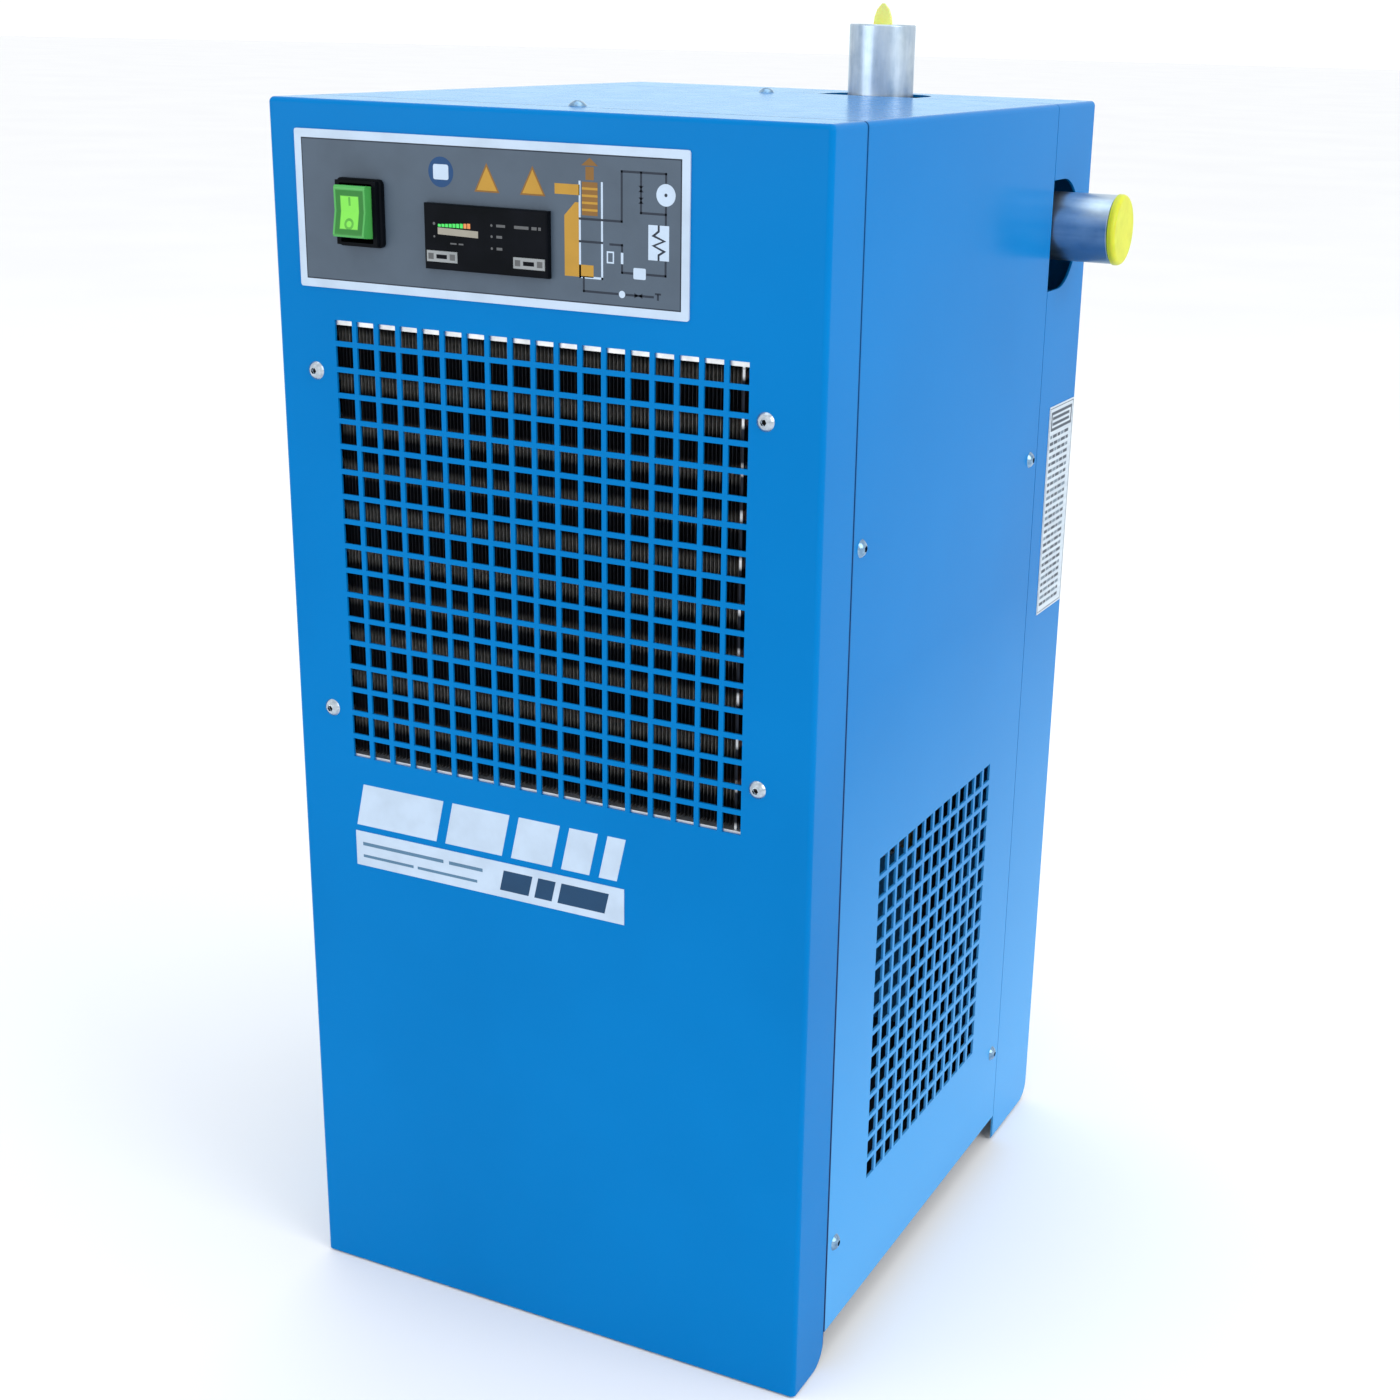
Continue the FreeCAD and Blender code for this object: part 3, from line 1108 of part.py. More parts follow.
# ---------------------------------------------------------------- drain line
def drain():
    """The condensate drain: elbow, shut-off valve and lever, strainer, solenoid valve, tube and outlet."""
    y = size.port_y
    z = size.drain_z
    start = size.drain_x
    elbow = [(start, y, size.core_low - 0.3), (start, y, z), (start + 26, y, z)]
    shaped("drain_elbow", bent_pipe(elbow, 16, size.drain_pipe, 2))
    axis = ("port_y", "drain_z")
    pivot = ("drain_x + lever_x", "port_y")
    valve = Piece("drain_valve_body")
    valve.tube("X", axis, "11", "0", "drain_x + 26.2", "drain_x + 62")
    valve.tube("Z", pivot, "7", "0", "drain_z + 8", "drain_z + 20")
    valve.tube("X", axis, "5", "0", "drain_x + 20", "drain_x + 70", cut=True)
    valve.tube("Z", pivot, "4.06", "0", "drain_z + 7", "drain_z + 21", cut=True)
    lever = Piece("drain_valve_lever")
    lever.tube("Z", pivot, "4", "0", "drain_z + 8", "drain_z + 21")
    lever.tube("Z", pivot, "7", "0", "drain_z + 20.4", "drain_z + 24")
    grip = rect("drain_x + lever_x", "port_y - 5", "drain_x + lever_x + lever_long", "port_y + 5")
    lever.prism("XY", "drain_z + 21", "drain_z + 24", grip)
    end = size.drain_x + size.lever_x + size.lever_long
    lever.round_edges("4.5", corner_edges, "xy", (end,), (y - 5, y + 5))
    strainer = Piece("drain_strainer")
    bowl = ("drain_x + strainer_x", "port_y")
    strainer.tube("X", axis, "10", "0", "drain_x + 62.2", "drain_x + 90")
    strainer.tube("Z", bowl, "8", "0", "drain_z - 24", "drain_z")
    strainer.round_edges("2", rim_edges, "z", size.drain_z - 24, 8)
    strainer.tube("X", axis, "drain_bore", "0", "drain_x + 60", "drain_x + 92", cut=True)
    solenoid = Piece("drain_solenoid_body")
    block = rect("drain_x + 90.2", "port_y - 12", "drain_x + 126", "port_y + 12")
    armature = ("drain_x + solenoid_x", "port_y")
    solenoid.prism("XY", "drain_z - 10", "drain_z + 10", block)
    solenoid.tube("Z", armature, "6", "0", "drain_z + 10", "drain_z + 46")
    solenoid.tube("X", axis, "drain_bore", "0", "drain_x + 85", "drain_x + 130", cut=True)
    coil = Piece("drain_solenoid_coil")
    left, right = "drain_x + solenoid_x - 15", "drain_x + solenoid_x + 15"
    case = rect(left, "port_y - 15", right, "port_y + 24")
    coil.prism("XY", "drain_z + 12", "drain_z + 42", case, circle(*armature, "6.1"))
    tube_x = size.drain_back_x
    down = size.drain_back_z
    bulkhead_front = size.depth / 2 - 14
    tube = [(start + 126.3, y, z), (tube_x, y, z), (tube_x, y, down), (tube_x, bulkhead_front - 0.2, down)]
    shaped("drain_tube", bent_pipe(tube, 11, 4, 1))
    outlet = Piece("drain_bulkhead")
    centre = ("drain_back_x", "drain_back_z")
    outlet.tube("Y", centre, "bulkhead_round", "0", f"{BACK} - 14", f"{BACK} + 8")
    outlet.tube("Y", centre, "nut_round", "0", f"{BACK} + 0.1", f"{BACK} + 4")
    outlet.tube("Y", centre, "nut_round", "0", f"{BACK} - 6", f"{BACK} - 1.7")
    outlet.round_edges("1", rim_edges, "y", size.depth / 2 + 8, size.bulkhead_round)
    outlet.tube("Y", centre, "drain_bore", "0", f"{BACK} - 15", f"{BACK} + 9", cut=True)


# ---------------------------------------------------------------- wiring
def wiring():
    """The box behind the control panel with what is in it, and the mains cable's gland."""
    box = Piece("electrical_box")
    near = f"{FRONT} + gauge + 0.2"
    box.prism("XZ", near, "ebox_back", rect("ebox_left", "ebox_low", "ebox_right", "ebox_top"))
    hollow = rect("ebox_left + 1.2", "ebox_low + 1.2", "ebox_right - 1.2", "ebox_top - 1.2")
    box.prism("XZ", f"{near} - 1", "ebox_back - 1.2", hollow, cut=True)
    block = Piece("terminal_block")
    low = "ebox_low + 1.3"
    front, back = "ebox_back - 30", "ebox_back - 6"
    block.prism("XY", low, f"{low} + 18", rect("ebox_left + 10", front, "ebox_left + 82", back))
    slot = rect("ebox_left + 12", f"{front} - 1", "ebox_left + 18", f"{front} + 8")
    way = block.prism("XY", f"{low} + 8", f"{low} + 19", slot, cut=True)
    block.repeat(way, ("H_Axis", "8.6", "8"))
    capacitor = Piece("run_capacitor")
    axis = ("ebox_back - 22", "ebox_low + 20")
    capacitor.tube("X", axis, "capacitor_round", "0", "capacitor_left", "capacitor_right")
    capacitor.round_edges("3", end_rims, "x", size.capacitor_left, size.capacitor_right)
    gland = Piece("cable_gland")
    centre = ("gland_x", "gland_z")
    gland.tube("Y", centre, "gland_round", "0", f"{BACK} - 12", f"{BACK} + 16")
    gland.tube("Y", centre, "nut_round", "0", f"{BACK} + 0.1", f"{BACK} + 6")
    gland.tube("Y", centre, "nut_round", "0", f"{BACK} - 7", f"{BACK} - 1.7")
    gland.round_edges("2.5", rim_edges, "y", size.depth / 2 + 16, size.gland_round)
    gland.tube("Y", centre, "gland_bore", "0", f"{BACK} - 13", f"{BACK} + 17", cut=True)


def build():
    """Make every sub-part, in the order in which the machine goes together."""
    base_plate()
    front_panel()
    back_panel()
    side_and_top_hood()
    all_screws()
    control_panel_plate()
    switch_bezel()
    switch_rocker()
    controller_housing()
    controller_button("controller_button_left", -1)
    controller_button("controller_button_right", 1)
    labels()
    air_inlet_coupling()
    air_outlet_coupling()
    inlet_plug()
    outlet_plug()
    condenser_frame()
    condenser_fins()
    condenser_tubes()
    fan_shroud()
    fan_bracket()
    fan_motor()
    fan_blades()
    compressor_shells()
    compressor_insides()
    compressor_mounting()
    compressor_fixings()
    exchanger()
    refrigerant_lines()
    refrigerant_parts()
    drain()
    wiring()


def check():
    """Stop if any object failed or any sub-part's shape is not sound."""
    doc.recompute()
    for thing in doc.Objects:
        if "Invalid" in thing.State or "Error" in thing.State:
            raise RuntimeError(f"{thing.Label} failed: {thing.State}")
    for piece in pieces:
        if piece.Shape.isNull() or not piece.Shape.isValid() or not piece.Shape.Solids:
            raise RuntimeError(f"{piece.Label} has no sound shape")


def save():
    """Write each sub-part to its own file."""
    for piece in pieces:
        piece.Shape.exportStep(os.path.join("parts", piece.Label + ".step"))
        box = piece.Shape.BoundBox
        low = f"{box.XMin:.1f} {box.YMin:.1f} {box.ZMin:.1f}"
        high = f"{box.XMax:.1f} {box.YMax:.1f} {box.ZMax:.1f}"
        solids = len(piece.Shape.Solids)
        volume = piece.Shape.Volume / 1000
        print(f"{piece.Label:28s} {solids} solid(s) {volume:9.1f} cm3 from {low} to {high}")
    print(len(pieces), "sub-parts")


build()
check()
save()
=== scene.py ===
"""The looks of a floor-standing refrigerated compressed-air dryer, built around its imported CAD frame."""
import math

import bmesh
import bpy
from mathutils import Matrix, Vector


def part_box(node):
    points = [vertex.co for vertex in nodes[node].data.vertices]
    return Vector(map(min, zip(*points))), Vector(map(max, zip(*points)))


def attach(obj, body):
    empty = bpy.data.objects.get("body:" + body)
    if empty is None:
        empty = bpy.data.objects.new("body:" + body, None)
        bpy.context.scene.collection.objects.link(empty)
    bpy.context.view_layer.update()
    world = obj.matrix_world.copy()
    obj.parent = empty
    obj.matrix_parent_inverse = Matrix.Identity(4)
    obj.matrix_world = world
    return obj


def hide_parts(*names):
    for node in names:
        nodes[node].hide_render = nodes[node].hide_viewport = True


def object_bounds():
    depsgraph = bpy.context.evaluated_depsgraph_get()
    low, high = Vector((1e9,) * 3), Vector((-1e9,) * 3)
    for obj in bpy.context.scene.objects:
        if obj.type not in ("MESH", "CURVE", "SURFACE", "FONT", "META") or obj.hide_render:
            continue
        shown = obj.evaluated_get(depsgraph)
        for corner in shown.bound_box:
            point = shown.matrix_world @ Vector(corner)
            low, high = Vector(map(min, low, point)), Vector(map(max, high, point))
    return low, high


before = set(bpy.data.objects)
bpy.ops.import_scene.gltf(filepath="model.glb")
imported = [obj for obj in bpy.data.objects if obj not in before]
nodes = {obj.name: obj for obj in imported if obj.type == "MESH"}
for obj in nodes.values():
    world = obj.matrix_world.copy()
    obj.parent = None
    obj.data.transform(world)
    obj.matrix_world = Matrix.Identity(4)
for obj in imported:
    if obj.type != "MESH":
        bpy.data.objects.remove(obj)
cad_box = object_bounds()

MM = 0.001
INK = 0.03 * MM                 # thickness of a printed layer
LAYER = 0.04 * MM               # step from one printed layer to the next

SEAM_GAP = 1.2 * MM             # open joint between the front panel and the hood
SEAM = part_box("side_and_top_hood")[0].y - SEAM_GAP / 2


# ---------------------------------------------------------------- materials

class Finish:
    """A procedural material on one Principled surface, patterned in the object's own metres."""

    def __init__(self, name, roughness=0.5, metallic=0.0, **fixed):
        self.material = bpy.data.materials.new(name)
        self.material.use_nodes = True
        self.tree = self.material.node_tree
        self.surface = self.tree.nodes["Principled BSDF"]
        self.place = self.tree.nodes.new("ShaderNodeTexCoord").outputs["Object"]
        self.normal = None
        self.put("Roughness", roughness)
        self.put("Metallic", metallic)
        for socket, value in fixed.items():
            self.put(socket.replace("_", " "), value)

    def feed(self, socket, value):
        """Links another node's output, or sets a plain value."""
        if isinstance(value, bpy.types.NodeSocket):
            self.tree.links.new(value, socket)
        else:
            socket.default_value = value

    def put(self, socket, value):
        self.feed(self.surface.inputs[socket], value)

    def node(self, kind, **inputs):
        made = self.tree.nodes.new(kind)
        for socket, value in inputs.items():
            self.feed(made.inputs[socket], value)
        return made

    def math(self, operation, *values):
        made = self.tree.nodes.new("ShaderNodeMath")
        made.operation = operation
        for socket, value in zip(made.inputs, values):
            self.feed(socket, value)
        return made.outputs["Value"]

    def off(self, value, middle):
        """How far a number is from a middle."""
        return self.math("ABSOLUTE", self.math("SUBTRACT", value, middle))

    def off_step(self, value, first, pitch):
        """How far a number is from the nearest of even steps, as a share of one step."""
        steps = self.math("DIVIDE", self.math("SUBTRACT", value, first), pitch)
        return self.off(steps, self.math("ROUND", steps))

    def stretched(self, stretch):
        return self.node("ShaderNodeMapping", Vector=self.place, Scale=stretch).outputs["Vector"]

    def noise(self, scale, detail=3.0, stretch=(1, 1, 1)):
        made = self.node("ShaderNodeTexNoise", Vector=self.stretched(stretch), Scale=scale, Detail=detail)
        return made.outputs["Fac"]

    def cells(self, scale, output="Distance"):
        return self.node("ShaderNodeTexVoronoi", Vector=self.place, Scale=scale).outputs[output]

    def axes(self):
        return self.node("ShaderNodeSeparateXYZ", Vector=self.place).outputs

    def level(self, factor, low, high, start=0.0, end=1.0):
        """Turns a pattern between start and end into a number between low and high."""
        made = self.node("ShaderNodeMapRange", Value=factor)
        made.inputs["From Min"].default_value = start
        made.inputs["From Max"].default_value = end
        made.inputs["To Min"].default_value = low
        made.inputs["To Max"].default_value = high
        return made.outputs["Result"]

    def ramp(self, factor, *stops):
        """A colour that follows the pattern through (place, colour) stops."""
        made = self.node("ShaderNodeValToRGB", Fac=factor)
        ends = made.color_ramp.elements
        for stop, (place, colour) in zip(ends, (stops[0], stops[-1])):
            stop.position = place
            stop.color = (*colour, 1)
        for place, colour in stops[1:-1]:
            ends.new(place).color = (*colour, 1)
        return made.outputs["Color"]

    def mix(self, factor, low, high):
        made = self.tree.nodes.new("ShaderNodeMix")
        made.data_type = "RGBA"
        self.feed(made.inputs["Factor"], factor)
        for label, value in (("A", low), ("B", high)):
            socket = next(s for s in made.inputs if s.name == label and s.type == "RGBA")
            self.feed(socket, value if isinstance(value, bpy.types.NodeSocket) else (*value, 1))
        return next(s for s in made.outputs if s.type == "RGBA")

    def bump(self, height, depth):
        """Adds relief of that depth, in metres, on top of any earlier relief."""
        made = self.node("ShaderNodeBump", Height=height, Distance=depth)
        if self.normal:
            self.feed(made.inputs["Normal"], self.normal)
        self.normal = made.outputs["Normal"]
        self.put("Normal", self.normal)


def srgb(*levels):
    """A colour given as 0 to 255 screen levels, in linear light."""
    shares = [level / 255 for level in levels]
    return tuple(s / 12.92 if s <= 0.04045 else ((s + 0.055) / 1.055) ** 2.4 for s in shares)


SEAM_SHADE_DARK, SEAM_SHADE_CLEAR = 0.8 * MM, 1.8 * MM    # from the seam's middle: where the painted seam shade is full, and gone
SEAM_SHADE_LOW, SEAM_SHADE_TOP = 0.25, 0.70               # heights in metres between which the painted seam shade thins out
FLOOR_LIGHT_LOW, FLOOR_LIGHT_TOP = 0.05, 0.43               # and between which the painted light from the floor fades out


def blue_paint(name="blue_paint", painted_floor_light=False):
    """Powder coat with faint orange peel and clouding, and painted shade along the front seam."""
    made = Finish(name, IOR=1.12)
    place = made.axes()
    clouds = made.noise(5.0, 4.0)
    colour = made.ramp(clouds, (0.30, srgb(0, 110, 178)), (0.70, srgb(2, 116, 186)))
    # painted light: a paler blue low down, standing in for light thrown up by the floor
    if painted_floor_light:
        floor_light_fade = made.level(place["Z"], 1.0, 0.0, FLOOR_LIGHT_LOW, FLOOR_LIGHT_TOP)
        floor_light_share = made.math("MULTIPLY", floor_light_fade, made.level(clouds, 0.85, 1.0))
        colour = made.mix(floor_light_share, colour, srgb(78, 158, 218))
    # painted shade in the open seam between the front panel and the hood, stronger lower down
    seam_shade = made.math("MULTIPLY", made.level(made.off(place["Y"], SEAM), 1.0, 0.0, SEAM_SHADE_DARK, SEAM_SHADE_CLEAR),
                      made.level(place["Z"], 0.95, 0.45, SEAM_SHADE_LOW, SEAM_SHADE_TOP))
    made.put("Base Color", made.mix(seam_shade, colour, srgb(4, 40, 92)))
    made.put("Roughness", made.level(made.noise(60.0), 0.17, 0.24))
    made.bump(made.noise(700.0, 2.0), 0.0025 * MM)
    made.bump(made.noise(3500.0, 1.0), 0.0006 * MM)
    return made.material


def hood_paint():
    """The blue of the hood and the back, with painted light from the floor making it paler towards the floor.
    """
    return blue_paint("hood_paint", painted_floor_light=True)


def satin_black_paint():
    made = Finish("satin_black_paint")
    dark, light = (0.012, 0.013, 0.015), (0.03, 0.03, 0.032)
    made.put("Base Color", made.ramp(made.noise(30.0), (0.3, dark), (0.8, light)))
    made.put("Roughness", made.level(made.noise(220.0), 0.38, 0.55))
    made.bump(made.noise(900.0, 2.0), 0.02 * MM)
    return made.material


def plated(name, dark, light):
    """Small turned and plated hardware."""
    made = Finish(name, metallic=1.0)
    made.put("Base Color", made.ramp(made.noise(400.0), (0.3, dark), (0.8, light)))
    made.put("Roughness", made.level(made.noise(900.0), 0.16, 0.28))
    made.bump(made.noise(2500.0, 1.0), 0.004 * MM)
    return made.material


def bright_zinc():
    return plated("bright_zinc", (0.36, 0.42, 0.48), (0.60, 0.67, 0.73))


def zinc_with_painted_reflection():
    """The same zinc as bright_zinc, with a painted darker, bluer reflection, for the hood's screws."""
    # painted reflection and shade: a darker, bluer copy of the bright zinc
    return plated("zinc_with_painted_reflection", (0.13, 0.24, 0.38), (0.34, 0.50, 0.64))


def zinc_pipe(name, stretch, painted_shade_heights=None):
    """Plated steel pipe, drawn along one axis, with cloudy patches; painted shade on its underside when it
    lies level.
    """
    made = Finish(name, metallic=1.0)
    streaks = made.noise(160.0, 4.0, stretch)
    patches = made.ramp(made.noise(45.0, 4.0), (0.35, srgb(134, 156, 178)), (0.65, srgb(184, 198, 208)))
    colour = made.mix(made.level(streaks, 0.0, 0.6, 0.35, 0.75), patches, srgb(214, 228, 240))
    if painted_shade_heights:
        # painted shade: darker towards the underside of a level pipe
        shade = made.level(made.axes()["Z"], 1.0, 0.0, *painted_shade_heights)
        colour = made.mix(shade, colour, srgb(82, 118, 146))
    made.put("Base Color", colour)
    made.put("Roughness", made.level(streaks, 0.26, 0.40))
    made.bump(streaks, 0.01 * MM)
    return made.material


def galvanised():
    """Hot-dip zinc with its crystal spangle."""
    made = Finish("galvanised", metallic=0.9)
    spangle = made.cells(140.0, "Color")
    grey = made.node("ShaderNodeRGBToBW", Color=spangle).outputs["Val"]
    made.put("Base Color", made.ramp(grey, (0.2, (0.42, 0.44, 0.46)), (0.8, (0.68, 0.70, 0.71))))
    made.put("Roughness", made.level(grey, 0.32, 0.55))
    made.bump(made.noise(600.0), 0.01 * MM)
    return made.material


def fin_aluminium(pitch, first):
    """Dark fin edges, with a painted highlight round each level of tubes."""
    made = Finish("fin_aluminium", metallic=0.3)
    height = made.axes()["Z"]
    # painted highlight: a lighter band at each level of tubes
    tube_highlight = made.level(made.off_step(height, first, pitch), 1.0, 0.0, 0.08, 0.24)
    dark_fin = made.ramp(made.noise(90.0, 5.0), (0.3, (0.004, 0.006, 0.011)), (0.75, (0.014, 0.017, 0.026)))
    highlight_or_bare = made.ramp(made.noise(300.0), (0.3, (0.12, 0.12, 0.115)), (0.7, (0.26, 0.25, 0.23)))
    made.put("Base Color", made.mix(tube_highlight, dark_fin, highlight_or_bare))
    made.put("Roughness", made.level(made.noise(150.0), 0.45, 0.75))
    made.bump(made.noise(800.0), 0.03 * MM)
    return made.material


def framing_zinc(pitch, first, low, high):
    """Zinc plate, bare past the ends of the fins and near-black with painted shade between them, but for a
    painted glint by each tube.
    """
    made = Finish("framing_zinc", metallic=0.9)
    height = made.axes()["Z"]
    over_tube = 0.15 * pitch
    # painted glint: a light spot just over each tube
    tube_glints = made.level(made.off_step(height, first + over_tube, pitch), 0.8, 0.0, 0.06, 0.16)
    half = (high - low) / 2
    ends = made.level(made.off(height, (low + high) / 2), 0.0, 1.0, half - 2 * MM, half - 1 * MM)
    highlight_or_bare = made.math("MAXIMUM", tube_glints, ends)
    zinc = made.ramp(made.noise(140.0, 4.0), (0.3, (0.50, 0.52, 0.54)), (0.7, (0.70, 0.71, 0.72)))
    # painted shade: near-black between the fins' ends, save the glints and the bare ends
    made.put("Base Color", made.mix(highlight_or_bare, (0.012, 0.015, 0.022), zinc))
    made.put("Roughness", made.level(made.noise(220.0), 0.35, 0.55))
    made.bump(made.noise(600.0), 0.01 * MM)
    return made.material


def mill_aluminium():
    made = Finish("mill_aluminium", metallic=1.0)
    grain = made.noise(180.0, 4.0, (1, 1, 0.1))
    made.put("Base Color", made.ramp(grain, (0.3, (0.52, 0.53, 0.54)), (0.7, (0.74, 0.75, 0.76))))
    made.put("Roughness", made.level(grain, 0.28, 0.45))
    made.bump(grain, 0.01 * MM)
    return made.material


def copper():
    """Drawn tube, bright where it is clean and brown where it has tarnished."""
    made = Finish("copper", metallic=1.0)
    tarnish = made.noise(70.0, 5.0)
    made.put("Base Color", made.ramp(tarnish, (0.35, (0.34, 0.13, 0.06)), (0.65, (0.86, 0.42, 0.25))))
    made.put("Roughness", made.level(tarnish, 0.45, 0.2))
    made.bump(made.noise(500.0), 0.01 * MM)
    return made.material


def brass():
    made = Finish("brass", metallic=1.0)
    patina = made.noise(120.0, 4.0)
    made.put("Base Color", made.ramp(patina, (0.3, (0.50, 0.33, 0.10)), (0.7, (0.80, 0.60, 0.26))))
    made.put("Roughness", made.level(patina, 0.4, 0.22))
    made.bump(made.noise(900.0), 0.006 * MM)
    return made.material


def machined_iron():
    made = Finish("machined_iron", metallic=0.8)
    grain = made.noise(240.0, 5.0, (1, 1, 0.2))
    made.put("Base Color", made.ramp(grain, (0.3, (0.10, 0.10, 0.105)), (0.7, (0.24, 0.24, 0.25))))
    made.put("Roughness", made.level(grain, 0.4, 0.6))
    made.bump(grain, 0.03 * MM)
    return made.material


def moulded(name, dark, light, roughness, **fixed):
    """Moulded plastic with a fine spark-eroded grain."""
    made = Finish(name, **fixed)
    made.put("Base Color", made.ramp(made.noise(40.0), (0.3, dark), (0.7, light)))
    made.put("Roughness", made.level(made.noise(500.0), roughness - 0.06, roughness + 0.06))
    made.bump(made.noise(1600.0, 2.0), 0.008 * MM)
    return made.material


def rubber():
    made = Finish("rubber")
    dark, light = (0.012, 0.012, 0.012), (0.03, 0.03, 0.03)
    made.put("Base Color", made.ramp(made.noise(60.0), (0.3, dark), (0.7, light)))
    made.put("Roughness", made.level(made.noise(300.0), 0.68, 0.85))
    made.bump(made.noise(1200.0, 2.0), 0.03 * MM)
    return made.material


def foam():
    """Closed-cell insulation with its small pores."""
    made = Finish("foam")
    pores = made.cells(420.0)
    made.put("Base Color", made.ramp(pores, (0.1, (0.012, 0.012, 0.014)), (0.6, (0.045, 0.045, 0.05))))
    made.put("Roughness", made.level(made.noise(200.0), 0.8, 0.95))
    made.bump(pores, 0.25 * MM)
    return made.material


def printed_film(name, colour, roughness=0.42):
    """Screen-printed ink or film: one colour with slight mottling and a satin face."""
    made = Finish(name, IOR=1.30)
    darker = tuple(0.90 * c for c in colour)
    made.put("Base Color", made.ramp(made.noise(55.0, 4.0), (0.30, darker), (0.60, colour)))
    made.put("Roughness", made.level(made.noise(350.0), roughness - 0.05, roughness + 0.05))
    made.bump(made.noise(1800.0, 1.0), 0.004 * MM)
    return made.material


def silver_film():
    made = Finish("silver_film", metallic=0.35)
    brushed = made.noise(420.0, 3.0, (1, 0.06, 1))
    made.put("Base Color", made.ramp(brushed, (0.3, (0.46, 0.54, 0.62)), (0.7, (0.60, 0.68, 0.75))))
    made.put("Roughness", made.level(brushed, 0.32, 0.46))
    made.bump(brushed, 0.004 * MM)
    return made.material


def lamp(name, colour, glow):
    """A small lit lens."""
    made = Finish(name, roughness=0.3)
    grain = made.ramp(made.noise(900.0), (0.3, tuple(0.8 * c for c in colour)), (0.7, colour))
    made.put("Base Color", grain)
    made.put("Emission Color", grain)
    made.put("Emission Strength", glow)
    return made.material


ROCKER_RIM = 2.2 * MM           # pale edge of the rocker's lens
ROCKER_RING = 5.4 * MM          # where the deep green ring round the lit field ends
ROCKER_BLEND = 0.5 * MM         # width over which one green turns into the next
MARK_OFF = 6.0 * MM             # from the rocker's middle up to its bar and down to its ring
MARK_HALF = 0.7 * MM            # half the line width of the bar and the ring
BAR_HALF = 2.3 * MM             # half the bar's length
RING_RADIUS = 2.4 * MM


def rocker_marks(made, across, height, middle):
    """Where the bar above and the ring below are, as 0 or 1."""
    bar = made.math("MULTIPLY", made.math("LESS_THAN", across, MARK_HALF),
                    made.math("LESS_THAN", made.off(height, middle + MARK_OFF), BAR_HALF))
    down = made.math("SUBTRACT", height, middle - MARK_OFF)
    squares = made.math("ADD", made.math("POWER", across, 2.0), made.math("POWER", down, 2.0))
    ring = made.math("LESS_THAN", made.off(made.math("SQRT", squares), RING_RADIUS), MARK_HALF)
    return made.math("MAXIMUM", bar, ring)


def rocker_lens(low, high):
    """Translucent green rocker: a pale rim, a deep ring and a lit field with a bar and a ring on it."""
    made = Finish("rocker_lens", IOR=1.40)
    place = made.axes()
    middle = (low + high) / 2
    across = made.off(place["X"], middle.x)
    along = made.off(place["Z"], middle.z)
    inset = made.math("MINIMUM", made.math("SUBTRACT", (high.x - low.x) / 2, across),
                      made.math("SUBTRACT", (high.z - low.z) / 2, along))
    rim, ring, field = srgb(70, 158, 76), srgb(26, 112, 32), srgb(116, 208, 70)
    inner = made.mix(made.level(inset, 0.0, 1.0, ROCKER_RING, ROCKER_RING + ROCKER_BLEND), ring, field)
    colour = made.mix(made.level(inset, 0.0, 1.0, ROCKER_RIM, ROCKER_RIM + ROCKER_BLEND), rim, inner)
    marks = rocker_marks(made, across, place["Z"], middle.z)
    colour = made.mix(made.math("MULTIPLY", marks, made.level(made.noise(260.0), 0.45, 0.75)), colour, ring)
    made.put("Base Color", colour)
    made.put("Emission Color", colour)
    made.put("Emission Strength", 0.04)
    made.put("Roughness", made.level(made.noise(400.0), 0.16, 0.26))
    return made.material


def soft_plastic(name, dark, light):
    """Soft translucent polyethylene."""
    made = Finish(name, Subsurface_Weight=0.35, Subsurface_Scale=0.004)
    made.put("Base Color", made.ramp(made.noise(120.0, 4.0), (0.3, dark), (0.7, light)))
    made.put("Roughness", made.level(made.noise(300.0), 0.34, 0.48))
    made.bump(made.noise(700.0), 0.02 * MM)
    return made.material


def pale_floor():
    made = Finish("pale_floor")
    dark, light = (0.86, 0.86, 0.87), (0.89, 0.89, 0.89)
    made.put("Base Color", made.ramp(made.noise(1.5, 3.0), (0.3, dark), (0.7, light)))
    made.put("Roughness", made.level(made.noise(20.0), 0.7, 0.8))
    return made.material


def wear(node_names, material):
    """Gives CAD nodes their finish."""
    for name in node_names:
        slots = nodes[name].data.materials
        slots.clear()
        slots.append(material)


# ---------------------------------------------------------------- printed shapes

class Face:
    """A flat face of the object, with places on it given in mm from one corner."""

    def __init__(self, node, side):
        low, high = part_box(node)
        if side == "front":
            self.corner = Vector((low.x, low.y, low.z))
            self.across = Vector((1, 0, 0))
            self.width = (high.x - low.x) / MM
        else:
            self.corner = Vector((high.x, low.y, low.z))
            self.across = Vector((0, 1, 0))
            self.width = (high.y - low.y) / MM
        self.up = Vector((0, 0, 1))
        self.out = self.across.cross(self.up)
        self.height = (high.z - low.z) / MM

    def point(self, u, v, layer):
        return self.corner + (self.across * u + self.up * v) * MM + self.out * layer * LAYER


def box_shape(left, low, right, high):
    return [(left, low), (right, low), (right, high), (left, high)]


def disc_shape(u, v, radius, corners=40):
    turn = math.tau / corners
    return [(u + radius * math.cos(turn * i), v + radius * math.sin(turn * i)) for i in range(corners)]


def rounded_shape(left, low, right, high, radius, steps=6):
    """A rectangle with round corners."""
    centres = [(right - radius, low + radius, -90), (right - radius, high - radius, 0),
               (left + radius, high - radius, 90), (left + radius, low + radius, 180)]
    outline = []
    for u, v, start in centres:
        for step in range(steps + 1):
            angle = math.radians(start + 90 * step / steps)
            outline.append((u + radius * math.cos(angle), v + radius * math.sin(angle)))
    return outline


